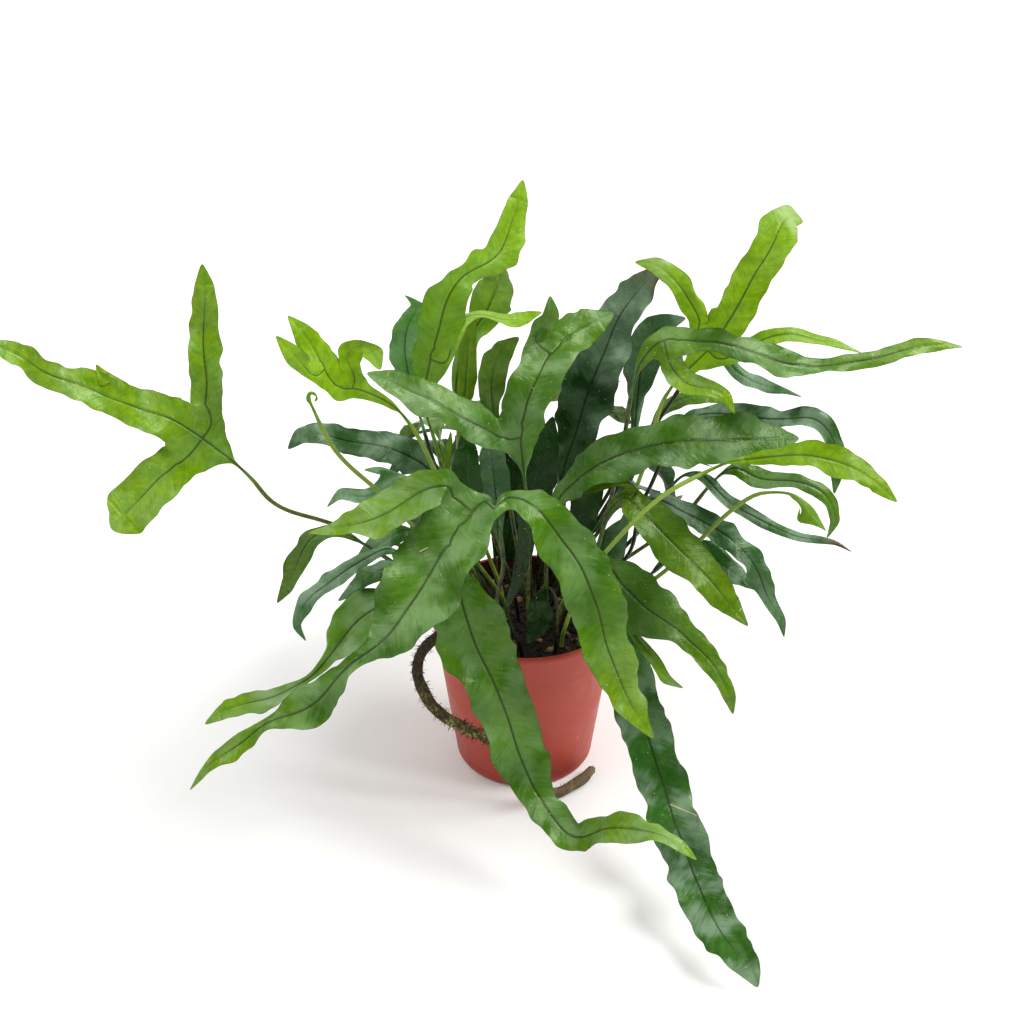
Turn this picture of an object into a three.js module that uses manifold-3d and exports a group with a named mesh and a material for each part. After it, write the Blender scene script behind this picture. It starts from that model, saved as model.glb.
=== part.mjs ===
import * as THREE from 'three';
import { mergeVertices } from 'three/addons/utils/BufferGeometryUtils.js';
import Module from 'manifold-3d';

const wasm = await Module();
wasm.setup();

// Driving dimensions, in millimetres. The pot stands on z = 0, centred on the Z axis.
const rimDiameter = 120;
const baseDiameter = 87;
const potHeight = 110;
const potWall = 1.6;
const potFloor = 2;
const lipHeight = 4;
const lipReach = 1.4;
const bandDrop = 24;
const bandStep = 0.7;
const potSides = 40;
const baseCorner = 3;
const lipEdge = 0.6;
const drainDiameter = 9;
const drainCircle = 52;
const drainHoles = 6;
const soilTop = 98;
const soilCrown = 3;
const clearance = 0.3;
const stipeDiameter = 2.6;
const bladeThickness = 1.4;
const stipeStep = 15;
const bladeStep = 10.5;
const footDepth = 9;
const rhizomeDiameter = 7.5;
const barkChips = 26;

// Finish of each kind of surface.
const finish = {
  pot: { color: 0xa84e42, roughness: 0.55, metalness: 0 },
  soil: { color: 0x1d1713, roughness: 0.95, metalness: 0 },
  rhizome: { color: 0x54461f, roughness: 0.9, metalness: 0 },
  leafMid: { color: 0x4a8f2a, roughness: 0.35, metalness: 0 },
  leafDark: { color: 0x24552b, roughness: 0.35, metalness: 0 },
  leafLime: { color: 0x7fb81a, roughness: 0.4, metalness: 0 },
  stem: { color: 0x6f8a2c, roughness: 0.5, metalness: 0 },
};

const plant = new THREE.Group();

function addPiece(name, geometry, kind) {
  const piece = new THREE.Mesh(geometry, new THREE.MeshStandardMaterial(finish[kind]));
  piece.name = name;
  plant.add(piece);
}

// Solids for cutting and joining.

function toSolid(geometry) {
  const bare = geometry.clone();
  bare.deleteAttribute('normal');
  bare.deleteAttribute('uv');
  const merged = mergeVertices(bare, 1e-4);
  return new wasm.Manifold(new wasm.Mesh({
    numProp: 3,
    vertProperties: new Float32Array(merged.attributes.position.array),
    triVerts: new Uint32Array(merged.index.array),
  }));
}

function toGeometry(solid) {
  const mesh = solid.getMesh();
  const geometry = new THREE.BufferGeometry();
  geometry.setAttribute('position', new THREE.BufferAttribute(mesh.vertProperties, 3));
  geometry.setIndex(new THREE.BufferAttribute(mesh.triVerts, 1));
  return geometry;
}

// A rod of n sides between two heights, for holes.
function rod(radius, bottom, top, x, y, sides) {
  const geometry = new THREE.CylinderGeometry(radius, radius, top - bottom, sides);
  geometry.rotateX(Math.PI / 2);
  geometry.translate(x, y, (top + bottom) / 2);
  return toSolid(geometry);
}

// A seeded draw, the same in every run.
function seededDraw(seed) {
  let state = seed;
  return () => {
    state = (state * 1664525 + 1013904223) % 4294967296;
    return state / 4294967296;
  };
}

// The pot: a turned shell with a stepped band under its lip, and drain holes off its middle.

const rimRadius = rimDiameter / 2;
const baseRadius = baseDiameter / 2;
const bandRadius = rimRadius - lipReach;

function wallRadius(height) {
  const spread = (bandRadius - bandStep - baseRadius) / potHeight;
  return baseRadius + spread * height;
}

function makePot() {
  const bandHeight = potHeight - bandDrop;
  const outline = [
    [0, 0],
    [baseRadius - baseCorner, 0],
    [baseRadius - baseCorner * 0.3, baseCorner * 0.3],
    [wallRadius(baseCorner), baseCorner],
    [wallRadius(bandHeight - bandStep), bandHeight - bandStep],
    [wallRadius(bandHeight) + bandStep, bandHeight],
    [bandRadius, potHeight - lipHeight],
    [rimRadius, potHeight - lipHeight + lipEdge],
    [rimRadius, potHeight - lipEdge],
    [rimRadius - lipEdge, potHeight],
    [bandRadius - potWall, potHeight],
    [bandRadius - potWall, potHeight - lipHeight],
    [wallRadius(potFloor) - potWall, potFloor],
    [0, potFloor],
  ];
  const profile = outline.map(([radius, height]) => new THREE.Vector2(radius, height));
  const turned = new THREE.LatheGeometry(profile, potSides);
  turned.rotateX(Math.PI / 2);
  let pot = toSolid(turned);
  for (let hole = 0; hole < drainHoles; hole += 1) {
    const angle = (hole / drainHoles) * Math.PI * 2;
    const x = (Math.cos(angle) * drainCircle) / 2;
    const y = (Math.sin(angle) * drainCircle) / 2;
    pot = pot.subtract(rod(drainDiameter / 2, -1, potFloor + 1, x, y, 8));
  }
  return toGeometry(pot);
}

// The inner radius of the pot at a height, which the soil fills.
function innerRadius(height) {
  const low = wallRadius(potFloor) - potWall;
  const high = bandRadius - potWall;
  const share = (height - potFloor) / (potHeight - lipHeight - potFloor);
  return low + (high - low) * share;
}

// Flat sheets: a blade is a loft of four-cornered rings (left edge, rib above, right edge, rib
// below), split into triangles alike on both faces. A lobe starts from an edge of its parent,
// where the edge point is doubled into one above and one below.

class Sheet {
  constructor() {
    this.points = [];
    this.triangles = [];
  }

  addPoint(place) {
    this.points.push(place.x, place.y, place.z);
    return this.points.length / 3 - 1;
  }

  addSide(a, b) {
    this.triangles.push(a.leftTop, a.top, b.top, a.leftTop, b.top, b.leftTop);
    this.triangles.push(a.top, a.rightTop, b.top, a.rightTop, b.rightTop, b.top);
    this.triangles.push(a.leftLow, b.leftLow, b.low, a.leftLow, b.low, a.low);
    this.triangles.push(a.rightLow, a.low, b.low, a.rightLow, b.low, b.rightLow);
  }

  addFoot(ring) {
    this.triangles.push(ring.rightTop, ring.top, ring.leftTop);
    this.triangles.push(ring.rightTop, ring.leftTop, ring.low);
  }

  addTip(ring, tip) {
    this.triangles.push(ring.leftTop, ring.top, tip, ring.top, ring.rightTop, tip);
    this.triangles.push(ring.rightLow, ring.low, tip, ring.low, ring.leftLow, tip);
  }

  toGeometry() {
    const geometry = new THREE.BufferGeometry();
    geometry.setAttribute('position', new THREE.Float32BufferAttribute(this.points, 3));
    geometry.setIndex(this.triangles);
    return geometry;
  }
}

// Fronds are laid out along sight lines from one standpoint in front of the pot: across and
// down are counted on a square view plane 1024 units wide, and depth is the real Y of the point.

const standpoint = new THREE.Vector3(-8, -741, 595);
const viewMiddle = 512;
const viewDistance = 1422;
const viewPitch = THREE.MathUtils.degToRad(29.5);

function sight(across, down, depth) {
  const right = (across - viewMiddle) / viewDistance;
  const up = (viewMiddle - down) / viewDistance;
  const ray = new THREE.Vector3(
    right,
    Math.cos(viewPitch) + up * Math.sin(viewPitch),
    -Math.sin(viewPitch) + up * Math.cos(viewPitch),
  );
  const reach = (depth - standpoint.y) / ray.y;
  return ray.multiplyScalar(reach).add(standpoint);
}

// A route through control points, with a width and a thickness at each of them.
function makeRoute(controls) {
  const curve = new THREE.CatmullRomCurve3(controls.map((c) => c.place), false, 'centripetal');
  const finesse = 24;
  curve.arcLengthDivisions = finesse * (controls.length - 1);
  const lengths = curve.getLengths();
  const lengthAt = (index) => {
    const fine = Math.min(index, controls.length - 1) * finesse;
    const low = Math.floor(fine);
    const high = Math.min(low + 1, lengths.length - 1);
    return lengths[low] + (lengths[high] - lengths[low]) * (fine - low);
  };
  const sample = (distance) => {
    const share = distance > 0 ? curve.getUtoTmapping(0, distance) : 0;
    const index = share * (controls.length - 1);
    const low = Math.min(Math.floor(index), controls.length - 2);
    const part = index - low;
    const blend = (key) => THREE.MathUtils.lerp(controls[low][key], controls[low + 1][key], part);
    return {
      place: curve.getPoint(share),
      tangent: curve.getTangent(share),
      width: blend('width'),
      thickness: blend('thickness'),
      roll: blend('roll'),
      index,
    };
  };
  return { sample, lengthAt, length: lengths[lengths.length - 1] };
}

// Distances along a route: the fixed ones, and even steps between them.
function spreadStations(fixed, stepAt) {
  const stations = [fixed[0]];
  for (let span = 1; span < fixed.length; span += 1) {
    const from = fixed[span - 1];
    const to = fixed[span];
    const steps = Math.max(1, Math.round((to - from) / stepAt((from + to) / 2)));
    for (let step = 1; step <= steps; step += 1) {
      stations.push(from + ((to - from) * step) / steps);
    }
  }
  return stations;
}

const defaultShape = {
  face: [0, -0.62, 0.78],
  faceEnd: null,
  keel: 0.16,
  wave: 2.4,
  waveLength: 42,
  phase: 0,
  step: bladeStep,
  locate: sight,
  lobes: [],
};
const broadening = 20; // length over which a stipe turns into a blade
const tapering = 25; // length over which the waves die away before a tip
const fullWaveWidth = 14; // a narrower blade waves less
const frill = { share: 0.07, pitch: 1.3 }; // in-plane waves of the margin
const rightEdgeLag = 2.2;
const tightest = 4; // least distance between the rings of a lobe's root
const samePlace = 0.05;

// Stations that a blade must have: its ends, the start of the blade, and its lobes' roots.
function fixedStations(marks, bladeStart, length) {
  const fixed = [0, length, bladeStart, ...marks.map((mark) => mark.middle)];
  marks.flatMap((mark) => [mark.from, mark.to]).forEach((distance) => {
    if (fixed.every((other) => Math.abs(other - distance) >= tightest)) fixed.push(distance);
  });
  fixed.sort((a, b) => a - b);
  return fixed.filter((distance, i) => i === 0 || distance - fixed[i - 1] > samePlace);
}

// One ring of a blade. On the hands in splits, a lobe leaves the edge, which is doubled there.
function addRing(sheet, at, look, onBlade, taper, turn, splits) {
  const up = look.facing.clone().addScaledVector(at.tangent, -look.facing.dot(at.tangent));
  up.normalize().applyAxisAngle(at.tangent, THREE.MathUtils.degToRad(at.roll));
  const side = at.tangent.clone().cross(up);
  const half = at.width / 2;
  const lift = (look.keel * half * onBlade) / 2;
  const ripple = look.wave * onBlade * taper * Math.min(1, at.width / fullWaveWidth);
  const frillShare = frill.share * onBlade * taper;
  const edge = (sign, lag) => at.place.clone()
    .addScaledVector(side, sign * half * (1 + frillShare * Math.sin(turn * frill.pitch + lag)))
    .addScaledVector(up, lift + ripple * Math.sin(turn + lag));
  const rib = at.place.clone().addScaledVector(up, -lift);
  const ring = {
    top: sheet.addPoint(rib.clone().addScaledVector(up, at.thickness / 2)),
    low: sheet.addPoint(rib.clone().addScaledVector(up, -at.thickness / 2)),
    edges: { left: edge(-1, 0), right: edge(1, rightEdgeLag) },
  };
  Object.entries(ring.edges).forEach(([hand, place]) => {
    if (splits.includes(hand)) {
      ring[`${hand}Top`] = sheet.addPoint(place.clone().addScaledVector(up, bladeThickness / 2));
      ring[`${hand}Low`] = sheet.addPoint(place.clone().addScaledVector(up, -bladeThickness / 2));
    } else {
      ring[`${hand}Top`] = sheet.addPoint(place);
      ring[`${hand}Low`] = ring[`${hand}Top`];
    }
  });
  return ring;
}

// Grows a blade (and its stipe, for a whole frond) on a sheet, from a route and a first ring.
function grow(sheet, controls, shape, firstRing, bladeFrom) {
  const look = { ...defaultShape, ...shape };
  const route = makeRoute(controls);
  const bladeStart = route.lengthAt(bladeFrom);
  const startFace = new THREE.Vector3(...look.face);
  const endFace = new THREE.Vector3(...(look.faceEnd ?? look.face));
  const marks = look.lobes.map((lobe) => {
    const middle = route.lengthAt(bladeFrom + 1 + lobe.at);
    return { lobe, middle, from: middle - lobe.root / 2, to: middle + lobe.root / 2 };
  });
  const stepAt = (distance) => (distance < bladeStart ? stipeStep : look.step);
  const stations = spreadStations(fixedStations(marks, bladeStart, route.length), stepAt);
  const isHere = (distance) => (mark) => Math.abs(distance - mark.middle) < samePlace;

  const rings = stations.slice(0, -1).map((distance, i) => {
    if (i === 0 && firstRing) return firstRing;
    const facing = startFace.clone().lerp(endFace, distance / route.length);
    const onBlade = THREE.MathUtils.smoothstep(distance, bladeStart, bladeStart + broadening);
    const taper = THREE.MathUtils.smoothstep(route.length - distance, 0, tapering);
    const turn = ((distance - bladeStart) / look.waveLength) * Math.PI * 2 + look.phase;
    const splits = marks.filter(isHere(distance)).map((mark) => mark.lobe.side);
    return addRing(sheet, route.sample(distance), { ...look, facing }, onBlade, taper, turn, splits);
  });
  if (!firstRing) sheet.addFoot(rings[0]);
  for (let i = 1; i < rings.length; i += 1) sheet.addSide(rings[i - 1], rings[i]);
  sheet.addTip(rings[rings.length - 1], sheet.addPoint(route.sample(route.length).place));

  marks.forEach((mark) => {
    const here = stations.findIndex((distance) => isHere(distance)(mark));
    growLobe(sheet, mark.lobe, look, rings.slice(here - 1, here + 2));
  });
}

// Grows a lobe from an edge of its parent, over the three rings of its root.
function growLobe(sheet, lobe, look, [back, here, ahead]) {
  const edge = lobe.side === 'right' ? 'rightTop' : 'leftTop';
  const [left, right] = lobe.side === 'right' ? [ahead[edge], back[edge]] : [back[edge], ahead[edge]];
  const root = {
    leftTop: left,
    leftLow: left,
    rightTop: right,
    rightLow: right,
    top: here[edge],
    low: here[lobe.side === 'right' ? 'rightLow' : 'leftLow'],
  };
  const start = {
    place: here.edges[lobe.side], width: lobe.root, thickness: bladeThickness, roll: 0,
  };
  const rest = lobe.path.map((entry) => bladeControl(look.locate, entry));
  const phase = look.phase + lobe.at * 2 + 1;
  grow(sheet, [start, ...rest], { ...look, faceEnd: null, lobes: [], ...lobe, phase }, root, 0);
}

// A control point of a blade: across, down, depth, width and, where it twists, roll in degrees.
function bladeControl(locate, [across, down, depth, width = 0, roll = 0]) {
  return { place: locate(across, down, depth), width, thickness: bladeThickness, roll };
}

const feet = [];

function addFrond(name, kind, spec) {
  const sheet = new Sheet();
  const thin = { width: stipeDiameter, thickness: stipeDiameter, roll: 0 };
  const [footX, footY] = spec.foot;
  const controls = [
    { place: new THREE.Vector3(footX, footY, soilTop - footDepth), ...thin },
    { place: new THREE.Vector3(footX, footY, soilTop + 6), ...thin },
  ];
  const locate = spec.locate ?? sight;
  spec.stipe.forEach(([across, down, depth]) => {
    controls.push({ place: locate(across, down, depth), ...thin });
  });
  const bladeFrom = controls.length - 1;
  controls.push(...spec.blade.map((entry) => bladeControl(locate, entry)));
  grow(sheet, controls, spec, null, bladeFrom);
  feet.push([footX, footY]);
  addPiece(name, sheet.toGeometry(), kind);
}

// Fronds of the left side.

addFrond('frond_far_left_paw', 'leafMid', {
  foot: [-40, 8],
  stipe: [
    [430, 560, 0], [336, 525, -12], [304, 515, -20], [277, 506, -24], [252, 479, -28],
    [236, 464, -30],
  ],
  blade: [
    [219, 451, -32, 18], [196, 434, -34, 26], [172, 419, -36, 27], [146, 411, -38, 23],
    [126, 403, -39, 20], [108, 397, -40, 20], [91, 389, -41, 22], [72, 382, -43, 16],
    [46, 373, -45, 14], [22, 357, -47, 14], [0, 347, -49, 9], [-17, 341, -50],
  ],
  face: [0.1, -0.75, 0.6],
  lobes: [
    {
      at: 0.75, side: 'right', root: 29,
      path: [
        [205, 405, -27, 20], [207, 386, -24, 17], [205, 365, -20, 18], [203, 342, -16, 18],
        [204, 322, -12, 16], [205, 301, -9, 14], [204, 284, -6, 10], [202, 264, -4],
      ],
    },
    {
      at: 0.75, side: 'left', root: 29,
      path: [
        [177, 464, -42, 26], [160, 477, -48, 25], [147, 491, -53, 27], [135, 504, -57, 28],
        [125, 515, -60, 27], [117, 522, -63, 24], [112, 530, -66],
      ],
    },
    {
      at: 4.6, side: 'right', root: 14,
      path: [[99, 376, -36, 7], [96, 365, -34]],
    },
  ],
});

addFrond('frond_curled_upper_left', 'leafLime', {
  foot: [-26, 6],
  stipe: [[425, 450, -8], [400, 412, -20]],
  blade: [
    [383, 400, -25, 6], [366, 392, -29, 10], [350, 388, -31, 14], [336, 386, -34, 15],
    [328, 375, -34, 16], [320, 360, -33, 16], [312, 346, -31, 15], [302, 332, -28, 11],
    [288, 316, -25],
  ],
  face: [0.2, -0.8, 0.5],
  lobes: [
    {
      at: 1.9, side: 'right', root: 14, keel: 0.35,
      path: [
        [345, 366, -28, 15], [354, 347, -26, 16], [366, 343, -26, 13], [374, 357, -30, 11],
        [380, 370, -36],
      ],
    },
    {
      at: 4.4, side: 'left', root: 11,
      path: [[305, 366, -40, 11], [290, 352, -44, 10], [276, 336, -46]],
    },
  ],
});

addFrond('frond_dark_left', 'leafDark', {
  foot: [-34, 16],
  stipe: [[452, 520, 10], [445, 492, 8]],
  blade: [
    [437, 478, 6, 10], [421, 463, 2, 18], [400, 452, -2, 23], [377, 445, -6, 20],
    [354, 442, -10, 17], [327, 436, -14, 14], [304, 434, -17, 13], [288, 449, -18],
  ],
  face: [-0.1, -0.7, 0.7],
});

addFrond('crozier_left', 'stem', {
  foot: [-20, -22],
  stipe: [
    [425, 540, -36], [382, 494, -48], [357, 473, -54], [338, 454, -58], [327, 437, -60],
    [317, 418, -62], [311, 404, -63],
  ],
  blade: [[307, 396, -63, 3.2], [312, 391, -62, 3], [317, 397, -61, 2.6], [314, 402, -59]],
  wave: 0.2, keel: 0, step: 4,
});

addFrond('frond_small_left', 'leafDark', {
  foot: [-36, -6],
  stipe: [[440, 520, -16], [418, 489, -22]],
  blade: [
    [402, 480, -25, 8], [386, 486, -27, 10], [371, 496, -30, 9], [354, 496, -32, 8],
    [338, 495, -34, 7], [327, 507, -36],
  ],
  lobes: [
    { at: 0.6, side: 'right', root: 7, path: [[391, 470, -22, 7], [378, 472, -24, 6], [364, 470, -26]] },
  ],
});

addFrond('frond_tall_bright', 'leafLime', {
  foot: [-16, -2],
  stipe: [[455, 540, -10], [444, 479, -16], [436, 445, -22], [428, 420, -27]],
  blade: [
    [424, 396, -30, 7], [427, 379, -31, 15], [430, 361, -33, 20], [436, 341, -35, 22],
    [441, 321, -37, 24],
    [446, 303, -36, 23], [453, 289, -33, 20], [463, 276, -28, 16], [477, 268, -20, 16],
    [492, 260, -12, 19], [503, 247, -5, 20], [509, 230, 0, 20], [515, 211, 5, 16],
    [520, 194, 9, 9], [523, 180, 12],
  ],
  face: [-0.1, -0.9, 0.3], faceEnd: [0.3, -0.85, 0.1], wave: 2,
  lobes: [
    {
      at: 2.1, side: 'right', root: 14, face: [-0.3, -0.4, 0.85],
      path: [
        [453, 334, -24, 11], [463, 320, -16, 10], [479, 314, -9, 9], [500, 320, -4, 10],
        [518, 319, 0, 11], [532, 317, 3, 8], [542, 312, 5],
      ],
    },
  ],
});

addFrond('frond_behind_tall', 'leafMid', {
  foot: [-8, 26],
  stipe: [[470, 470, 40], [456, 400, 46]],
  blade: [
    [458, 372, 47, 8], [464, 350, 47, 11], [474, 330, 47, 15], [486, 312, 46, 22],
    [494, 296, 43, 23], [500, 282, 40, 18], [505, 268, 38],
  ],
  face: [0, -0.9, 0.3],
});

addFrond('frond_centre_fork', 'leafMid', {
  foot: [2, -28],
  stipe: [[528, 560, -44], [527, 500, -52], [524, 474, -54]],
  blade: [
    [522, 455, -55, 13], [521, 432, -55, 22], [524, 413, -53, 24], [531, 393, -49, 26],
    [539, 374, -43, 27], [548, 358, -36, 26], [560, 344, -28, 25], [576, 332, -20, 22],
    [594, 323, -12, 18], [614, 313, -6],
  ],
  face: [0, -0.85, 0.5], keel: 0.22,
  lobes: [
    {
      at: 0.75, side: 'left', root: 17, face: [0.1, -0.6, 0.8],
      path: [
        [494, 433, -60, 20], [476, 424, -64, 23], [457, 414, -67, 23], [438, 403, -68, 22],
        [419, 394, -68, 19], [400, 387, -68, 16], [384, 379, -67, 12], [367, 373, -66],
      ],
    },
    {
      at: 5.3, side: 'left', root: 20, face: [0.1, -0.9, 0.3],
      path: [[549, 321, -32, 13], [550, 296, -30]],
    },
  ],
});

// Fronds of the right side.

addFrond('frond_large_dark', 'leafDark', {
  foot: [8, 16],
  stipe: [[548, 540, 14], [560, 485, 19]],
  blade: [
    [568, 455, 22, 14], [577, 430, 25, 27], [583, 407, 28, 32], [590, 386, 31, 35],
    [599, 365, 33, 33], [607, 345, 35, 28], [615, 325, 36, 24], [626, 306, 37, 24],
    [638, 291, 37, 20], [649, 279, 37, 12], [668, 266, 36],
  ],
  face: [-0.1, -0.8, 0.6], keel: 0.2, wave: 3,
});

addFrond('frond_bright_right', 'leafLime', {
  foot: [22, 4],
  stipe: [[612, 540, 0], [648, 455, -8], [661, 405, -12], [677, 380, -15]],
  blade: [
    [692, 366, -17, 12], [712, 345, -18, 20], [731, 318, -16, 21], [743, 296, -12, 21],
    [755, 274, -8, 22], [770, 250, -3, 22], [778, 233, 2, 21], [784, 221, 8, 19],
    [792, 216, 15, 13], [803, 221, 20],
  ],
  face: [-0.2, -0.85, 0.45], wave: 1.6,
  lobes: [
    {
      at: 0.8, side: 'left', root: 17,
      path: [
        [700, 321, -14, 13], [692, 305, -9, 12], [682, 289, -5, 13], [668, 274, -1, 12],
        [652, 264, 3, 8], [635, 262, 6],
      ],
    },
    {
      at: 0.8, side: 'right', root: 17, face: [0, -0.6, 0.8],
      path: [
        [742, 350, -17, 13], [768, 338, -12, 11], [794, 334, -8, 10], [811, 339, -5, 8],
        [833, 343, -2, 6], [864, 354, 2],
      ],
    },
  ],
});

addFrond('frond_long_right', 'leafMid', {
  foot: [30, -8],
  stipe: [[600, 540, -22], [622, 450, -32], [636, 375, -40]],
  blade: [
    [652, 348, -43, 12], [666, 340, -44, 18], [697, 342, -46, 15], [716, 342, -47, 13],
    [736, 347, -47, 15], [755, 352, -46, 18], [772, 359, -44, 19], [789, 364, -41, 15],
    [818, 366, -37, 9], [847, 363, -33, 9], [876, 358, -29, 10], [905, 350, -25, 10],
    [934, 345, -21, 8], [963, 347, -18],
  ],
  face: [0, -0.7, 0.75],
  lobes: [
    {
      at: 0.9, side: 'right', root: 15,
      path: [
        [673, 369, -50, 15], [687, 384, -54, 14], [704, 388, -57, 11], [719, 391, -59, 8],
        [729, 401, -60, 6], [735, 414, -62],
      ],
    },
  ],
});

addFrond('frond_wide_right', 'leafMid', {
  foot: [14, -18],
  stipe: [[546, 570, -34], [551, 520, -44]],
  blade: [
    [560, 497, -48, 10], [575, 482, -51, 18], [592, 469, -53, 23], [614, 457, -54, 26],
    [636, 450, -53, 26], [660, 444, -51, 26], [685, 441, -48, 30], [709, 440, -44, 31],
    [733, 440, -40, 32], [757, 440, -36, 28], [778, 438, -32, 18], [799, 438, -28],
  ],
  face: [0, -0.7, 0.75], wave: 3, keel: 0.12,
});

addFrond('frond_lime_right', 'leafLime', {
  foot: [22, -32],
  stipe: [[592, 570, -62], [656, 501, -76], [680, 485, -77], [704, 473, -76], [726, 463, -74]],
  blade: [
    [745, 460, -70, 5], [770, 457, -70, 10], [794, 455, -69, 15], [818, 457, -69, 18],
    [842, 463, -70, 18], [862, 473, -72, 15], [880, 487, -75, 10], [897, 502, -78],
  ],
  face: [0, -0.7, 0.75], wave: 1.6,
});

addFrond('frond_right_mid', 'leafMid', {
  foot: [22, -14],
  stipe: [[590, 570, -34], [609, 515, -46]],
  blade: [
    [625, 498, -56, 12], [642, 512, -62, 21], [656, 526, -67, 25], [675, 544, -73, 26],
    [694, 564, -79, 24], [713, 583, -85, 20], [726, 600, -89, 14], [738, 614, -92, 8],
    [748, 626, -95],
  ],
  lobes: [
    {
      at: 0.3, side: 'left', root: 8, wave: 1,
      path: [[622, 479, -55, 7], [610, 482, -51, 7], [596, 488, -48, 6], [578, 494, -45]],
    },
  ],
});

addFrond('frond_right_low', 'leafMid', {
  foot: [36, -16],
  stipe: [[592, 580, -40]],
  blade: [
    [604, 559, -50, 15], [618, 580, -58, 27], [632, 594, -63, 32], [646, 607, -68, 33],
    [661, 618, -73, 30], [676, 629, -77, 21], [690, 641, -80, 15], [702, 652, -83, 14],
    [713, 664, -86, 14], [722, 680, -89, 12], [729, 696, -92, 8], [733, 714, -94],
  ],
});

addFrond('frond_right_small', 'leafMid', {
  foot: [30, -44],
  stipe: [[612, 603, -64]],
  blade: [
    [632, 632, -74, 5], [646, 650, -79, 7], [659, 667, -83, 7], [669, 682, -86, 6],
    [683, 688, -89],
  ],
  wave: 0.8,
});

addFrond('frond_right_dark', 'leafDark', {
  foot: [28, 4],
  stipe: [[628, 555, -10], [640, 510, -24]],
  blade: [
    [652, 497, -30, 8], [668, 504, -32, 13], [682, 511, -34, 15], [705, 523, -38, 16],
    [726, 535, -42, 16], [744, 552, -46, 15], [757, 569, -49, 14], [763, 586, -52, 11],
    [770, 602, -55, 10], [780, 617, -57, 7], [784, 637, -59],
  ],
});

addFrond('frond_right_under', 'leafDark', {
  foot: [40, -4],
  stipe: [[650, 575, -22]],
  blade: [
    [684, 544, -26, 8], [704, 553, -28, 17], [719, 562, -30, 19], [735, 574, -33, 14],
    [757, 590, -37],
  ],
});

addFrond('frond_right_thin', 'leafDark', {
  foot: [34, 12],
  stipe: [[640, 530, 2], [682, 476, -1]],
  blade: [
    [702, 474, -4, 7], [716, 490, -8, 9], [736, 507, -12, 9], [755, 517, -16, 8],
    [780, 530, -20, 7], [806, 539, -24, 6], [830, 541, -27, 4], [852, 552, -30],
  ],
  wave: 1.2,
});

addFrond('crozier_right', 'stem', {
  foot: [42, -12],
  stipe: [
    [660, 575, -38], [699, 541, -47], [716, 524, -50], [736, 507, -52], [755, 495, -54],
    [770, 491, -55], [787, 493, -56],
  ],
  blade: [[801, 502, -57, 4], [811, 513, -58, 6], [818, 523, -58, 5], [826, 531, -59]],
  wave: 0.4, keel: 0.1, step: 7,
  lobes: [
    {
      at: 1, side: 'right', root: 5,
      path: [[806, 519, -57, 4], [799, 518, -56, 4], [795, 512, -55, 3], [800, 507, -53]],
    },
  ],
});

addFrond('frond_right_curl', 'leafMid', {
  foot: [36, 20],
  stipe: [[680, 520, 18], [720, 475, 15]],
  blade: [
    [738, 468, 14, 7], [752, 476, 12, 14], [770, 480, 10, 14], [790, 481, 8, 10],
    [808, 485, 6, 10], [824, 494, 4, 10], [833, 510, 2, 8], [834, 526, 0, 5], [827, 538, -2],
  ],
  wave: 1,
});

addFrond('frond_right_dull', 'leafDark', {
  foot: [20, 18],
  stipe: [[622, 480, 22], [672, 400, 20], [708, 354, 15]],
  blade: [
    [724, 358, 12, 7], [736, 371, 9, 9], [753, 381, 6, 10], [770, 388, 3, 8],
    [784, 391, 1, 4], [802, 397, -2],
  ],
  wave: 1,
});

addFrond('frond_right_back', 'leafDark', {
  foot: [26, 18],
  stipe: [[640, 505, 24], [672, 440, 20]],
  blade: [
    [694, 416, 14, 10], [720, 414, 10, 15], [745, 416, 6, 15], [770, 419, 2, 14],
    [790, 419, -2, 13], [811, 418, -5, 13], [826, 428, -8, 12], [835, 446, -10, 12],
    [837, 468, -12, 10], [834, 494, -14],
  ],
});

// Fronds of the front.

addFrond('frond_front_paw', 'leafMid', {
  foot: [-14, -34],
  stipe: [[497, 599, -46], [503, 570, -50], [501, 538, -60], [497, 510, -78]],
  blade: [
    [486, 500, -86, 16], [470, 514, -92, 32], [455, 534, -99, 40], [441, 555, -106, 42],
    [427, 578, -113, 43], [413, 600, -120, 42], [399, 621, -126, 36], [383, 640, -131, 22],
    [364, 655, -136, 9], [347, 668, -139, 10], [331, 685, -141, 18], [314, 704, -143, 25],
    [293, 714, -145, 19], [275, 719, -147, 8], [262, 726, -148, 5], [248, 738, -149, 11],
    [231, 750, -151, 12], [211, 764, -152, 8], [190, 790, -154],
  ],
  face: [-0.1, -0.6, 0.8], wave: 3,
  lobes: [
    {
      at: 0.85, side: 'right', root: 22,
      path: [
        [453, 488, -87, 18], [438, 486, -87, 19], [418, 493, -89, 24], [400, 505, -93, 27],
        [380, 516, -97, 24], [360, 523, -100, 17], [341, 528, -102, 10], [325, 531, -103, 6],
        [308, 533, -104],
      ],
    },
    {
      at: 0.12, side: 'left', root: 11,
      path: [
        [505, 498, -84, 11], [518, 498, -85, 15], [532, 505, -88, 19], [546, 519, -91, 24],
        [564, 542, -95, 28],
        [579, 564, -99, 30], [590, 587, -103, 31], [599, 613, -107, 30], [605, 639, -110, 28],
        [614, 665, -113, 25], [625, 691, -116, 21], [638, 717, -119, 12], [654, 739, -122],
      ],
    },
  ],
});

addFrond('frond_low_left', 'leafMid', {
  foot: [-45, -26],
  stipe: [[430, 590, -66], [412, 590, -76]],
  blade: [
    [398, 597, -84, 12], [376, 608, -90, 24], [356, 622, -94, 28], [341, 641, -98, 21],
    [328, 658, -101, 9], [315, 673, -103, 4], [300, 684, -105, 4], [286, 691, -107, 8],
    [270, 698, -108, 12], [252, 702, -109, 13], [235, 707, -110, 11], [220, 714, -111, 8],
    [205, 724, -112],
  ],
});

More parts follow.
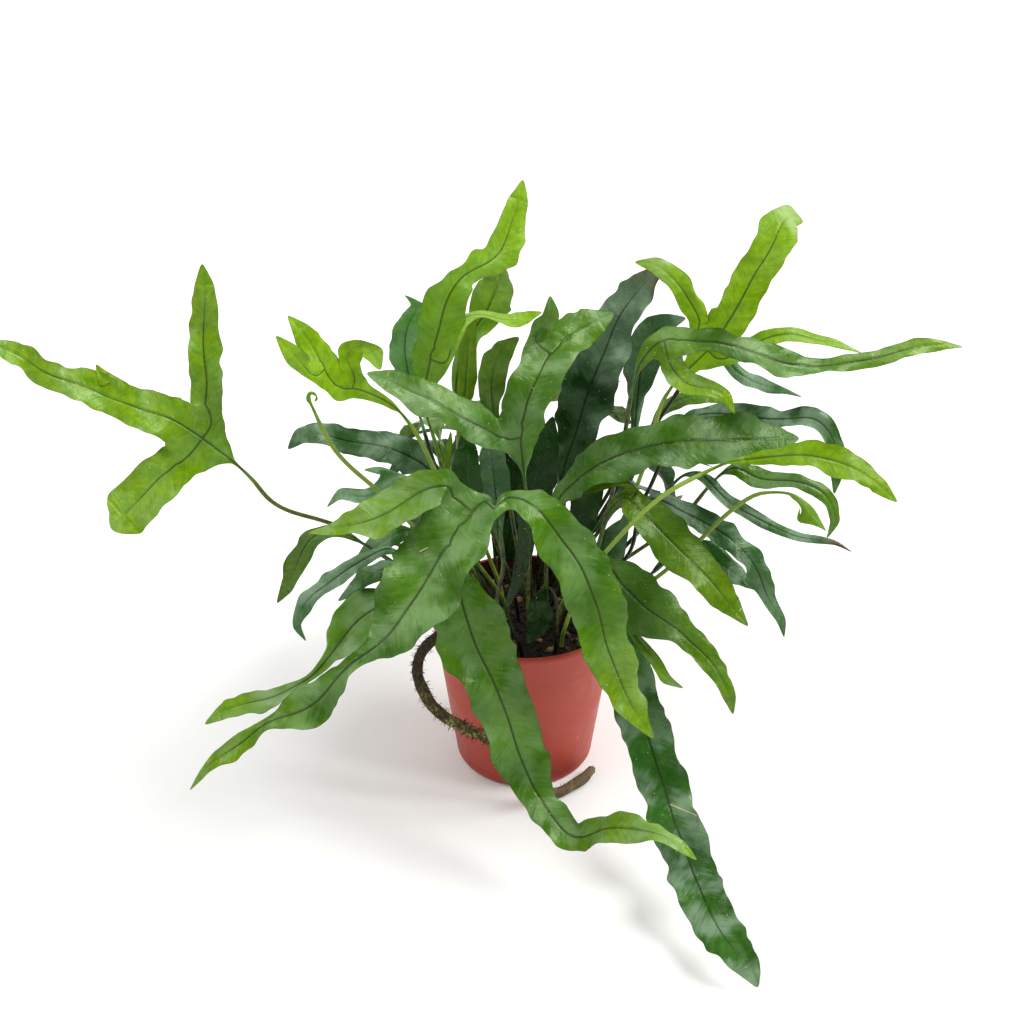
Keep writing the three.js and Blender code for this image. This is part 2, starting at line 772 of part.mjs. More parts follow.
addFrond('frond_hanging_front', 'leafMid', {
  foot: [-26, -38],
  stipe: [[470, 575, -64]],
  blade: [
    [460, 572, -76, 16], [461, 596, -84, 30], [466, 618, -90, 40], [475, 642, -95, 42],
    [484, 663, -99, 38], [495, 685, -103, 34], [504, 707, -107, 31], [511, 728, -110, 31],
    [518, 750, -114, 32], [532, 784, -122, 24], [547, 808, -129, 20], [560, 827, -134, 19],
    [575, 838, -140, 20], [590, 834, -145, 19], [610, 828, -150, 17], [631, 829, -155, 15],
    [658, 834, -161, 12], [679, 845, -165, 8], [697, 860, -168],
  ],
  face: [0, -0.8, 0.6], faceEnd: [0, -0.4, 0.9], wave: 3,
});

addFrond('frond_long_dark', 'leafDark', {
  foot: [36, -30],
  stipe: [[604, 600, -46], [622, 614, -56]],
  blade: [
    [632, 640, -66, 11], [634, 668, -71, 21], [637, 702, -79, 28], [648, 738, -89, 29],
    [659, 771, -100, 29], [668, 800, -112, 29], [677, 828, -128, 29], [688, 858, -142, 28],
    [699, 887, -160, 27], [711, 914, -177, 25], [725, 938, -190, 23], [741, 957, -201, 18],
    [754, 974, -209, 10], [758, 987, -216],
  ],
  face: [-0.2, -0.7, 0.7], wave: 3,
});

addFrond('frond_left_tuft_high', 'leafMid', {
  foot: [-44, -8],
  stipe: [[430, 590, -30], [362, 543, -50]],
  blade: [
    [337, 532, -56, 7], [318, 534, -59, 10], [306, 545, -61, 12], [299, 559, -63, 12],
    [293, 575, -65, 11], [285, 590, -66, 7], [277, 603, -67],
  ],
  wave: 1.2,
});

addFrond('frond_left_tuft_low', 'leafDark', {
  foot: [-44, -18],
  stipe: [[425, 605, -46], [402, 556, -60]],
  blade: [
    [386, 548, -63, 6], [366, 559, -66, 8], [346, 570, -69, 9], [331, 582, -71, 12],
    [316, 592, -73, 12], [303, 607, -75, 9], [297, 625, -76, 5], [306, 641, -77],
  ],
  wave: 1.2,
});

addFrond('frond_left_tuft_dark', 'leafDark', {
  foot: [-20, -45],
  stipe: [[420, 610, -68]],
  blade: [
    [400, 566, -74, 8], [383, 569, -77, 14], [367, 578, -79, 13], [352, 590, -81, 7],
    [338, 601, -83],
  ],
});

addFrond('frond_left_tuft_dull', 'leafDark', {
  foot: [-46, 2],
  stipe: [[430, 560, -16], [419, 536, -26]],
  blade: [
    [409, 529, -30, 9], [397, 533, -33, 15], [384, 541, -36, 15], [370, 552, -39, 11],
    [355, 562, -42],
  ],
});

// Small fronds inside the clump.

addFrond('frond_inner_upright', 'leafLime', {
  foot: [-12, 8],
  stipe: [[455, 530, 6], [447, 492, 2]],
  blade: [[446, 470, 0, 4], [449, 450, -2, 5], [451, 431, -4]],
  wave: 0.3,
});

addFrond('frond_inner_glossy', 'leafDark', {
  foot: [-4, -4],
  stipe: [[500, 545, -14]],
  blade: [
    [497, 507, -18, 12], [495, 487, -21, 20], [492, 466, -24, 19], [490, 448, -26, 10],
    [489, 434, -27],
  ],
});

addFrond('frond_inner_band', 'leafDark', {
  foot: [-2, -44],
  stipe: [[508, 612, -50]],
  blade: [[516, 585, -55, 7], [522, 559, -58, 9], [524, 531, -61, 8], [518, 509, -64]],
  face: [0.2, -0.9, 0.3], wave: 0.8,
});

addFrond('frond_inner_low', 'leafDark', {
  foot: [18, -42],
  stipe: [[556, 600, -50], [548, 585, -55]],
  blade: [[537, 593, -58, 10], [542, 610, -61, 18], [538, 626, -64, 13], [527, 644, -66]],
});

addFrond('frond_inner_grey', 'leafDark', {
  foot: [32, 0],
  stipe: [[600, 590, -14]],
  blade: [[604, 566, -20, 11], [611, 549, -22, 19], [619, 532, -24, 14], [628, 516, -26]],
});

addFrond('frond_inner_deep_middle', 'leafDark', {
  foot: [4, -8],
  stipe: [[530, 560, -10]],
  blade: [
    [528, 532, -12, 13], [532, 502, -14, 23], [539, 472, -14, 24], [547, 442, -12, 17],
    [553, 416, -10],
  ],
});

addFrond('frond_inner_deep_left', 'leafDark', {
  foot: [-13, -15],
  stipe: [[474, 565, -26]],
  blade: [
    [469, 548, -32, 12], [465, 524, -35, 20], [464, 500, -36, 20], [466, 476, -35, 17],
    [467, 452, -33, 14], [463, 430, -31],
  ],
});

addFrond('frond_inner_deep_right', 'leafDark', {
  foot: [14, -6],
  stipe: [[572, 560, -12]],
  blade: [[578, 535, -16, 12], [584, 511, -18, 20], [592, 490, -18, 16], [602, 472, -18]],
});

addFrond('frond_back_dull', 'leafDark', {
  foot: [-24, 24],
  stipe: [[440, 480, 30], [418, 410, 34]],
  blade: [
    [413, 392, 36, 9], [408, 372, 37, 17], [405, 350, 37, 19], [407, 330, 37, 17],
    [413, 315, 34, 12], [418, 304, 32, 8], [405, 295, 31],
  ],
  face: [0, -0.9, 0.4],
});

addFrond('frond_back_lime', 'leafLime', {
  foot: [-14, 18],
  stipe: [[462, 480, 14], [460, 410, 11]],
  blade: [[464, 400, 9, 9], [466, 378, 8, 12], [468, 355, 7, 11], [470, 334, 5, 8], [475, 316, 3]],
  face: [0, -0.9, 0.4], wave: 0.8,
});

addFrond('frond_back_cluster', 'leafMid', {
  foot: [0, 10],
  stipe: [[506, 480, 8]],
  blade: [[492, 402, 6, 11], [492, 381, 5, 17], [497, 361, 4, 17], [507, 346, 3, 11], [519, 337, 3]],
  face: [0, -0.9, 0.4],
});

addFrond('frond_back_low', 'leafDark', {
  foot: [-1, 33],
  stipe: [[505, 566, 33]],
  blade: [
    [506, 553, 34, 14], [510, 534, 35, 26], [512, 512, 36, 30], [511, 490, 37, 25],
    [507, 468, 38, 14], [503, 449, 38],
  ],
  face: [0, -0.9, 0.4],
});

addFrond('frond_back_right_tall', 'leafDark', {
  foot: [16, 28],
  stipe: [[610, 490, 40], [632, 440, 46]],
  blade: [
    [637, 402, 48, 9], [640, 377, 49, 19], [645, 353, 49, 25], [653, 335, 48, 22],
    [667, 323, 47, 12], [686, 318, 46],
  ],
  face: [0, -0.9, 0.4],
});

addFrond('frond_back_right_low', 'leafMid', {
  foot: [23, 26],
  stipe: [[626, 490, 22], [652, 425, 28]],
  blade: [[668, 406, 34, 8], [685, 398, 31, 13], [705, 396, 28, 12], [727, 403, 24]],
});

// Fronds of the far side, arching out by a rule: turned evenly, with low, high and middling
// ones beside each other, each swayed aside, and every other one lobed.

const farSide = {
  count: 12,
  firstTurn: 42,
  lastTurn: 142,
  rootRadius: 43,
  rootStagger: 8,
  rises: [
    { crown: 160, reach: 186, drop: 96, width: 20 },
    { crown: 188, reach: 156, drop: 70, width: 17 },
    { crown: 216, reach: 118, drop: 34, width: 25 },
  ],
};

function addFarFrond(number, turn, draw) {
  const angle = THREE.MathUtils.degToRad(turn);
  const rise = farSide.rises[number % farSide.rises.length];
  const crown = rise.crown + 14 * (draw() - 0.5);
  const reach = rise.reach * (0.86 + 0.24 * draw());
  const width = rise.width * (0.85 + 0.3 * draw());
  const sway = 38 * (draw() - 0.5);
  const curl = 16 * draw();
  const root = farSide.rootRadius + (number % 2) * farSide.rootStagger;
  const locate = (outward, height, aside) => new THREE.Vector3(
    Math.cos(angle) * outward - Math.sin(angle) * aside,
    Math.sin(angle) * outward + Math.cos(angle) * aside,
    height,
  );
  const along = (part) => root + 8 + (reach - root) * part;
  const fall = (part) => crown - rise.drop * part;
  const lobe = (side, sign) => ({
    at: 1,
    side,
    root: 12,
    path: [
      [along(0.4), fall(0) + 3, sway * 0.3 + sign * (width * 0.5 + 9), width * 0.5],
      [along(0.52), fall(0.06), sway * 0.4 + sign * (width * 0.5 + 21), width * 0.55],
      [along(0.62), fall(0.16), sway * 0.5 + sign * (width * 0.5 + 31), width * 0.35],
      [along(0.7), fall(0.24), sway * 0.5 + sign * (width * 0.5 + 39)],
    ],
  });
  const isLobed = number % 2 === 1;
  addFrond(`frond_far_side_${number + 1}`, number % 3 === 2 ? 'leafMid' : 'leafDark', {
    locate,
    foot: [Math.cos(angle) * root, Math.sin(angle) * root],
    stipe: [[along(0.02), (crown + soilTop) / 2 + 8, 0]],
    blade: [
      [along(0.14), fall(0.1), sway * 0.05, width * 0.4],
      [along(0.3), fall(0), sway * 0.25, width * 0.85],
      [along(0.44), fall(0.04), sway * 0.5, width],
      [along(0.58), fall(0.2), sway * 0.8, width * 0.9],
      [along(0.72), fall(0.45), sway, width * 0.95],
      [along(0.86), fall(0.78), sway * 1.05, width * 0.6],
      [along(0.95), fall(0.95), sway, width * 0.35],
      [along(1.04), fall(1) + curl * 0.4, sway * 0.9],
    ],
    face: [Math.cos(angle) * 0.35, Math.sin(angle) * 0.35, 1],
    phase: number * 1.7,
    step: 12,
    lobes: isLobed ? [lobe(sway > 0 ? 'left' : 'right', sway > 0 ? 1 : -1)] : [],
  });
}

function makeFarSide() {
  const draw = seededDraw(33);
  for (let number = 0; number < farSide.count; number += 1) {
    const share = number / (farSide.count - 1);
    const turn = THREE.MathUtils.lerp(farSide.firstTurn, farSide.lastTurn, share);
    addFarFrond(number, turn, draw);
  }
}

makeFarSide();

// The rhizome: a creeping stem that climbs over the lip, hangs along the pot's front and ends,
// broken off, on the floor, with short bristles all round.

const rhizomeRadius = rhizomeDiameter / 2;
const rhizomeFoot = new THREE.Vector3(-27, -12, soilTop - footDepth);
const rhizomeRest = rhizomeRadius + 0.4; // height of its middle where it lies on the floor
const bristle = { count: 34, first: 0.2, last: 0.82, length: 4, radius: 0.45, lean: 0.5 };
const rhizomeRoute = [
  rhizomeFoot,
  new THREE.Vector3(-30, -18, 106),
  new THREE.Vector3(-37, -32, 117),
  new THREE.Vector3(-47, -45, 120),
  new THREE.Vector3(-59, -51, 113),
  new THREE.Vector3(-64, -52, 99),
  new THREE.Vector3(-61, -54, 84),
  new THREE.Vector3(-53, -58, 72),
  new THREE.Vector3(-38, -62, 63),
  new THREE.Vector3(-24, -64, 56),
  new THREE.Vector3(-9, -65, 42),
  new THREE.Vector3(4, -63, 24),
  new THREE.Vector3(12, -58, 10),
  new THREE.Vector3(20, -53, rhizomeRest),
  new THREE.Vector3(28, -48, rhizomeRest),
  new THREE.Vector3(36, -41, rhizomeRest),
  new THREE.Vector3(44, -29, rhizomeRest),
];

function makeRhizome() {
  const sides = 8;
  const route = new THREE.CatmullRomCurve3(rhizomeRoute, false, 'centripetal');
  const outline = [];
  for (let side = 0; side < sides; side += 1) {
    const angle = (side / sides) * Math.PI * 2;
    outline.push(new THREE.Vector2(Math.cos(angle), Math.sin(angle)).multiplyScalar(rhizomeRadius));
  }
  const tube = new THREE.ExtrudeGeometry(new THREE.Shape(outline), {
    steps: 40,
    extrudePath: route,
    bevelEnabled: false,
  });
  let rhizome = toSolid(tube);
  const draw = seededDraw(21);
  for (let i = 0; i < bristle.count; i += 1) {
    const share = THREE.MathUtils.lerp(bristle.first, bristle.last, i / bristle.count);
    const along = route.getTangentAt(share);
    const outward = new THREE.Vector3(draw() - 0.5, draw() - 0.5, draw() - 0.5);
    outward.addScaledVector(along, -outward.dot(along)).normalize();
    const cone = new THREE.ConeGeometry(bristle.radius, bristle.length, 3);
    cone.translate(0, rhizomeRadius + bristle.length / 4, 0);
    const lean = outward.clone().addScaledVector(along, bristle.lean).normalize();
    const turn = new THREE.Quaternion().setFromUnitVectors(new THREE.Vector3(0, 1, 0), lean);
    cone.applyQuaternion(turn);
    const place = route.getPointAt(share);
    cone.translate(place.x, place.y, place.z);
    rhizome = rhizome.add(toSolid(cone));
  }
  return toGeometry(rhizome);
}

// The soil: a plug with a low crown, bark chips fused to its top, and plain holes for the stems.

const soilSides = 32;
const goldenAngle = 2.39996; // spreads the chips evenly on a spiral
const chip = { shortest: 5, longest: 9, slimness: 0.6, thickness: 3, fromEdge: 6, fromStem: 5 };
const holeTop = soilTop + 12;

function addChips(bare, edge) {
  let soil = bare;
  const draw = seededDraw(5);
  const stems = [...feet, [rhizomeFoot.x, rhizomeFoot.y - 2]];
  for (let i = 0; i < barkChips; i += 1) {
    const reach = (edge - chip.fromEdge) * Math.sqrt((i + 0.5) / barkChips);
    const x = Math.cos(i * goldenAngle) * reach;
    const y = Math.sin(i * goldenAngle) * reach;
    const long = THREE.MathUtils.lerp(chip.shortest, chip.longest, draw());
    const box = new THREE.BoxGeometry(long, long * chip.slimness, chip.thickness);
    box.rotateY(0.4 * (draw() - 0.5));
    box.rotateZ(draw() * Math.PI);
    box.translate(x, y, soilTop + soilCrown * (1 - reach / edge));
    const space = chip.fromStem + long * 0.4;
    if (stems.every(([fx, fy]) => Math.hypot(fx - x, fy - y) > space)) soil = soil.add(toSolid(box));
  }
  return soil;
}

function makeSoil() {
  const bottom = potFloor + clearance;
  const edge = innerRadius(soilTop) - clearance;
  const outline = [
    [0, bottom],
    [innerRadius(bottom) - clearance, bottom],
    [edge, soilTop],
    [edge * 0.7, soilTop + soilCrown * 0.5],
    [edge * 0.35, soilTop + soilCrown * 0.9],
    [0, soilTop + soilCrown],
  ];
  const profile = outline.map(([radius, height]) => new THREE.Vector2(radius, height));
  const turned = new THREE.LatheGeometry(profile, soilSides);
  turned.rotateX(Math.PI / 2);
  let soil = addChips(toSolid(turned), edge);
  const stemHole = stipeDiameter / 2 + 2 * clearance;
  feet.forEach(([x, y]) => {
    soil = soil.subtract(rod(stemHole, soilTop - footDepth - clearance, holeTop, x, y, 6));
  });
  const holeBottom = soilTop - footDepth - 2;
  const rhizomeHole = rod(
    rhizomeRadius + 3, holeBottom, holeTop, rhizomeFoot.x - 1, rhizomeFoot.y - 2, 10,
  );
  return toGeometry(soil.subtract(rhizomeHole));
}

addPiece('pot', makePot(), 'pot');
addPiece('soil', makeSoil(), 'soil');
addPiece('rhizome', makeRhizome(), 'rhizome');

export default plant;
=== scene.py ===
import heapq
import math
import random

import bmesh
import bpy
from mathutils import Matrix, Vector, kdtree, noise


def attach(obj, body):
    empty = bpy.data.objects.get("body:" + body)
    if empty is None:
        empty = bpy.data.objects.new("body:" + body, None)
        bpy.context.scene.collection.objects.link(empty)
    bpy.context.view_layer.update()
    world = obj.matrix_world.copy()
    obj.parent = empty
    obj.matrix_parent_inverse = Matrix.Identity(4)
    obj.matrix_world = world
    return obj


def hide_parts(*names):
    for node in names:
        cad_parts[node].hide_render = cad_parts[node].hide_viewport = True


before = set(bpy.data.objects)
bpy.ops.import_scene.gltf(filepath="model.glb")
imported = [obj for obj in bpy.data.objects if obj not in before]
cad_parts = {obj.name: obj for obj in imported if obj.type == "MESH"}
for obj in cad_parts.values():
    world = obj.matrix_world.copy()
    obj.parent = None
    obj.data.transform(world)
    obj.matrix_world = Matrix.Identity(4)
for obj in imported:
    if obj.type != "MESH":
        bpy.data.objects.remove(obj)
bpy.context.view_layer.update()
print("frame loaded:", len(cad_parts), "nodes")

mm = 0.001
farAway = 1e9
goldenAngle = 2.39996  # in radians: things turned by it one after another never line up
noise.seed_set(3)  # else its vectors differ from run to run

# settings that many nodes share
times = {"operation": "MULTIPLY"}
plus = {"operation": "ADD"}
minus = {"operation": "SUBTRACT"}
scaleAdd = {"operation": "MULTIPLY_ADD"}
larger = {"operation": "MAXIMUM"}
smaller = {"operation": "MINIMUM"}
soft = {"interpolation_type": "SMOOTHSTEP"}
tint = {"data_type": "RGBA"}  # input 0 is the share, 6 and 7 are the two colours, and output 2 is the mixed one


def hexColour(text):
    # sRGB hex to the linear values that a shader socket takes
    channels = [int(text[i:i + 2], 16) / 255 for i in (1, 3, 5)]
    linear = [c / 12.92 if c <= 0.04045 else ((c + 0.055) / 1.055) ** 2.4 for c in channels]
    return (*linear, 1.0)


def setInputs(tree, node, inputs):
    # an input takes a number, a colour, a socket, or a node for its main output
    pairs = inputs.items() if isinstance(inputs, dict) else enumerate(inputs or [])
    for key, value in pairs:
        if isinstance(value, bpy.types.Node):
            value = value.outputs[2 if value.bl_idname == "ShaderNodeMix" else 0]
        if isinstance(value, bpy.types.NodeSocket):
            tree.links.new(value, node.inputs[key])
        elif value is not None:
            node.inputs[key].default_value = value


def addNode(tree, kind, settings=None, inputs=None):
    node = tree.nodes.new(kind)
    for key, value in (settings or {}).items():
        setattr(node, key, value)
    setInputs(tree, node, inputs)
    return node


def newMaterial(name):
    # a material with its tree, its shader and the place on the piece
    material = bpy.data.materials.new(name)
    material.use_nodes = True
    tree = material.node_tree
    place = addNode(tree, "ShaderNodeTexCoord").outputs["Object"]
    return material, tree, tree.nodes["Principled BSDF"], place


def newPiece(name, mesh, material, node):
    # node is the CAD node that the piece stands for, if it stands for one
    piece = bpy.data.objects.new(name, mesh)
    bpy.context.scene.collection.objects.link(piece)
    mesh.materials.append(material)
    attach(piece, "root")
    if node:
        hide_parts(node)
    return piece


def meshFrom(bm, name, smooth=True):
    mesh = bpy.data.meshes.new(name)
    for face in bm.faces:
        face.smooth = smooth
    bm.to_mesh(mesh)
    bm.free()
    return mesh


def evaluated(piece):
    graph = bpy.context.evaluated_depsgraph_get()
    return bpy.data.meshes.new_from_object(piece.evaluated_get(graph), preserve_all_data_layers=True,
                                           depsgraph=graph)


def smoothStep(low, high, value):
    share = min(1.0, max(0.0, (value - low) / (high - low)))
    return share * share * (3 - 2 * share)


studio = {
    "cameraPlace": (-0.008, -0.741, 0.595),
    "cameraTilt": 60.5,
    "focalLength": 50,
    "floorColour": "#fbfbf9",
    "floorSize": 12.0,
    "toothSize": 1.11,  # grain of the floor's paper, in millimetres
    "skyLow": 0.06,  # the room is dim behind the camera, and brighter toward the ceiling and the backdrop
    "skyHigh": 0.42,
    "backdrop": 0.7,
    # each softbox: the way it shines, how wide it looks in degrees, and its strength
    "softboxes": {
        "softboxRight": ((-0.95, 0.05, -1.0), 34, 3.0),
        "softboxLeft": ((0.75, 0.3, -1.0), 46, 1.3),
    },
}

camera = bpy.data.objects.new("camera", bpy.data.cameras.new("camera"))
camera.location = studio["cameraPlace"]
camera.rotation_euler = (math.radians(studio["cameraTilt"]), 0, 0)
camera.data.lens = studio["focalLength"]
camera.data.sensor_width = 36
bpy.context.scene.collection.objects.link(camera)
bpy.context.scene.camera = camera
bpy.context.scene.view_settings.view_transform = "Standard"

# softboxes as far lamps of a wide angle, so that they light the whole floor evenly
for boxName, (aim, width, strength) in studio["softboxes"].items():
    lamp = bpy.data.lights.new(boxName, "SUN")
    lamp.energy = strength
    lamp.angle = math.radians(width)
    softbox = bpy.data.objects.new(boxName, lamp)
    softbox.rotation_euler = Vector(aim).to_track_quat("-Z", "Y").to_euler()
    bpy.context.scene.collection.objects.link(softbox)

# the studio's walls and ceiling
sky = bpy.data.worlds.new("studioSky")
bpy.context.scene.world = sky
sky.use_nodes = True
tree = sky.node_tree
aimed = addNode(tree, "ShaderNodeTexCoord").outputs["Generated"]
parts = addNode(tree, "ShaderNodeSeparateXYZ", None, [aimed])
ceiling = addNode(tree, "ShaderNodeMapRange", soft,
                  [parts.outputs["Z"], 0.1, 0.95, studio["skyLow"], studio["skyHigh"]])
behind = addNode(tree, "ShaderNodeMapRange", soft, [parts.outputs["Y"], 0.2, 0.9, 0.0, studio["backdrop"]])
glow = addNode(tree, "ShaderNodeMath", plus, [ceiling, behind])
# past the floor's edge the eye meets white paper, as far as it sees
seen = addNode(tree, "ShaderNodeLightPath").outputs["Is Camera Ray"]
shown = addNode(tree, "ShaderNodeMath", larger, [glow, seen])
setInputs(tree, tree.nodes["Background"], {"Color": hexColour("#ffffff"), "Strength": shown})

# seamless paper: matt white, with the faint tooth of uncoated stock
paper, tree, shader, place = newMaterial("seamlessPaper_matt")
tooth = addNode(tree, "ShaderNodeTexNoise", None,
                {"Vector": place, "Scale": 1000 / studio["toothSize"], "Detail": 3})
toothBump = addNode(tree, "ShaderNodeBump", None, {"Strength": 0.1, "Distance": 0.2 * mm, "Height": tooth})
setInputs(tree, shader, {"Base Color": hexColour(studio["floorColour"]), "Roughness": 0.9,
                         "Specular IOR Level": 0.1, "Normal": toothBump})

bm = bmesh.new()
bmesh.ops.create_grid(bm, x_segments=2, y_segments=2, size=studio["floorSize"])
floorMesh = meshFrom(bm, "floor")
floorMesh.materials.append(paper)
floorPiece = bpy.data.objects.new("floor", floorMesh)
bpy.context.scene.collection.objects.link(floorPiece)
print("studio set")


# lengths in millimetres, as the attributes of a frond hold its distances, and the colours of wear
leafDetail = {
    "veinGrain": 1.5,  # from one fine side vein to the next
    "veinReach": 7.0,  # how far a fine vein runs on before it loses itself
    "veinSlant": 0.8,
    "ribHalfWidth": 0.36,
    "ribTaper": 90.0,  # how far back from a tip the rib has its full width
    "flankReach": 2.4,  # pale skin on both sides of the rib
    "marginWidth": 0.26,
    "blotchSize": 26,
    "mottleSize": 4.2,
    "bloomSize": 17,
    "waxSize": 9,
    "swellSize": 6.5,
    "pebbleSize": 0.8,
    "speckSpacing": 3.4,
    "scratchSpacing": 4.1,
    "relief": 0.6,
    "worn": "#ced8ba",
    "crisp": "#6e5036",
    "crispDark": "#3e2a1c",
}


def scatterMarks(tree, vector, spacing, share, core, fade, strength):
    # marks on a share of the cells of a pattern, with spacing in millimetres from one cell to the next
    cells = addNode(tree, "ShaderNodeTexVoronoi", None, {"Vector": vector, "Scale": 1000 / spacing})
    drawn = addNode(tree, "ShaderNodeSeparateColor", None, [cells.outputs["Color"]])
    chosen = addNode(tree, "ShaderNodeMath", {"operation": "GREATER_THAN"}, [drawn, 1 - share])
    dot = addNode(tree, "ShaderNodeMapRange", soft, [cells, core, fade, strength, 0])
    return addNode(tree, "ShaderNodeMath", times, [dot, chosen])


def leafMaterial(name, look):
    material, tree, shader, place = newMaterial(name)
    size = leafDetail
    cloud = {}  # soft noise, each of its own size
    for key, detail in (("blotch", 2), ("bloom", 2), ("wax", 3), ("swell", 1), ("mottle", 4), ("pebble", 1)):
        cloud[key] = addNode(tree, "ShaderNodeTexNoise", None,
                             {"Vector": place, "Scale": 1000 / size[key + "Size"], "Detail": detail})
    rib, edge, along, young, blade, shade, bloom, tip, dry = (
        addNode(tree, "ShaderNodeAttribute", {"attribute_name": key}).outputs["Fac"]
        for key in ("ribDistance", "edgeDistance", "along", "young", "blade", "shade", "bloom", "tipDistance",
                    "dry"))

    # fine side veins that leave the rib forward: noise drawn out along their run
    slant = addNode(tree, "ShaderNodeMath", times, [rib, size["veinSlant"]])
    run = addNode(tree, "ShaderNodeMath", minus, [along, slant])
    across = addNode(tree, "ShaderNodeMath", times, [run, 1 / size["veinGrain"]])
    outward = addNode(tree, "ShaderNodeMath", times, [rib, 1 / size["veinReach"]])
    weave = addNode(tree, "ShaderNodeCombineXYZ", None, [across, outward, cloud["blotch"]])
    veins = addNode(tree, "ShaderNodeTexNoise", None, {"Vector": weave, "Scale": 1.0, "Detail": 2.0})

    # blade colour: mature green with blotches, paler and yellower where young
    blotch = addNode(tree, "ShaderNodeMapRange", soft, [cloud["blotch"], 0.3, 0.72, 0, 1])
    mottle = addNode(tree, "ShaderNodeMapRange", soft, [cloud["mottle"], 0.36, 0.68, 0, 1])
    body = addNode(tree, "ShaderNodeMath", {**scaleAdd, "use_clamp": True}, [blotch, 0.6, 0.2])
    mature = addNode(tree, "ShaderNodeMix", tint,
                     {0: body, 6: hexColour(look["deep"]), 7: hexColour(look["green"])})
    fresh = addNode(tree, "ShaderNodeMix", tint,
                    {0: mottle, 6: hexColour(look["fresh"]), 7: hexColour(look["freshDeep"])})
    wobble = addNode(tree, "ShaderNodeMath", scaleAdd, [blotch, 0.16, -0.08])
    age = addNode(tree, "ShaderNodeMath", {**plus, "use_clamp": True}, [young, wobble])
    colour = addNode(tree, "ShaderNodeMix", tint, {0: age, 6: mature, 7: fresh})
    weaveTone = addNode(tree, "ShaderNodeMapRange", None,
                        [veins, 0.3, 0.7, 1 - look["veinShow"], 1 + look["veinShow"]])
    # each frond's brightness: partly its own tone, partly painted shade on the inner fronds and painted light on
    # backlit ones
    light = addNode(tree, "ShaderNodeMath", times, [shade, weaveTone])
    light = addNode(tree, "ShaderNodeMath", times, [light, 2.0])
    colour = addNode(tree, "ShaderNodeHueSaturation", None, {"Color": colour, "Value": light})

    # bloom and sheen: pale wax and fine dust, with painted sheen standing in for the reflection of the bright
    # ceiling and backdrop, in streaky patches, most where the blade lies open to the top
    facing = addNode(tree, "ShaderNodeNewGeometry").outputs["Normal"]
    lying = addNode(tree, "ShaderNodeSeparateXYZ", None, [facing])
    upFacingSheen = addNode(tree, "ShaderNodeMapRange", soft, [lying.outputs["Z"], 0.1, 0.95, 0.35, 1.0])
    drawn = addNode(tree, "ShaderNodeMath", scaleAdd, [veins, 0.2, cloud["bloom"]])
    sheenFilm = addNode(tree, "ShaderNodeMapRange", soft, [drawn, 0.48, 0.74, 0, look["bloomShow"]])
    # above 1 the bloom and painted sheen also lie as an even haze, and their patches grow little
    patchy = addNode(tree, "ShaderNodeMath", smaller, [bloom, 1.4])
    haze = addNode(tree, "ShaderNodeMath", {**scaleAdd, "use_clamp": True}, [bloom, 0.15, -0.15])
    hazed = addNode(tree, "ShaderNodeMath", scaleAdd, [sheenFilm, patchy, haze])
    bloomAndSheenShare = addNode(tree, "ShaderNodeMath", {**times, "use_clamp": True}, [hazed, upFacingSheen])
    colour = addNode(tree, "ShaderNodeMix", tint, {0: bloomAndSheenShare, 6: colour, 7: hexColour(look["bloom"])})

    # dark midrib with pale flanks, narrowing to the tip, and a thin dark margin
    flank = addNode(tree, "ShaderNodeMapRange", soft,
                    [rib, size["flankReach"] / 4, size["flankReach"], look["flankShow"], 0])
    flankShare = addNode(tree, "ShaderNodeMath", times, [flank, shade])
    colour = addNode(tree, "ShaderNodeMix", tint, {0: flankShare, 6: colour, 7: hexColour(look["flank"])})
    ribHalf = addNode(tree, "ShaderNodeMapRange", soft,
                      [tip, 0, size["ribTaper"], size["ribHalfWidth"] * 0.4, size["ribHalfWidth"] * 1.2])
    ribOut = addNode(tree, "ShaderNodeMath", minus, [rib, ribHalf])
    ribLine = addNode(tree, "ShaderNodeMapRange", soft, [ribOut, 0.0, 0.4, look["ribShow"], 0])
    ribEnd = addNode(tree, "ShaderNodeMapRange", soft, [tip, 2.0, 30.0, 0, 1])
    ribShare = addNode(tree, "ShaderNodeMath", times, [ribLine, ribEnd])
    ribTone = addNode(tree, "ShaderNodeMix", tint,
                      {0: young, 6: hexColour(look["rib"]), 7: hexColour(look["ribYoung"])})
    colour = addNode(tree, "ShaderNodeMix", tint, {0: ribShare, 6: colour, 7: ribTone})
    margin = addNode(tree, "ShaderNodeMapRange", soft,
                     [edge, size["marginWidth"] * 0.4, size["marginWidth"] * 1.6, look["marginShow"], 0])
    marginShare = addNode(tree, "ShaderNodeMath", times, [margin, blade])
    colour = addNode(tree, "ShaderNodeMix", tint, {0: marginShare, 6: colour, 7: ribTone})

    # stipe: olive to dark brown, streaked, greener where young
    stalk = addNode(tree, "ShaderNodeMix", tint,
                    {0: mottle, 6: hexColour(look["stipe"]), 7: hexColour(look["stipeDark"])})
    sap = addNode(tree, "ShaderNodeMapRange", soft, [young, 0.2, 0.9, 0, 1])
    stalk = addNode(tree, "ShaderNodeMix", tint, {0: sap, 6: stalk, 7: hexColour(look["stipeYoung"])})
    bladeShare = addNode(tree, "ShaderNodeMapRange", soft, [blade, 0.25, 0.95, 0, 1])
    colour = addNode(tree, "ShaderNodeMix", tint, {0: bladeShare, 6: stalk, 7: colour})

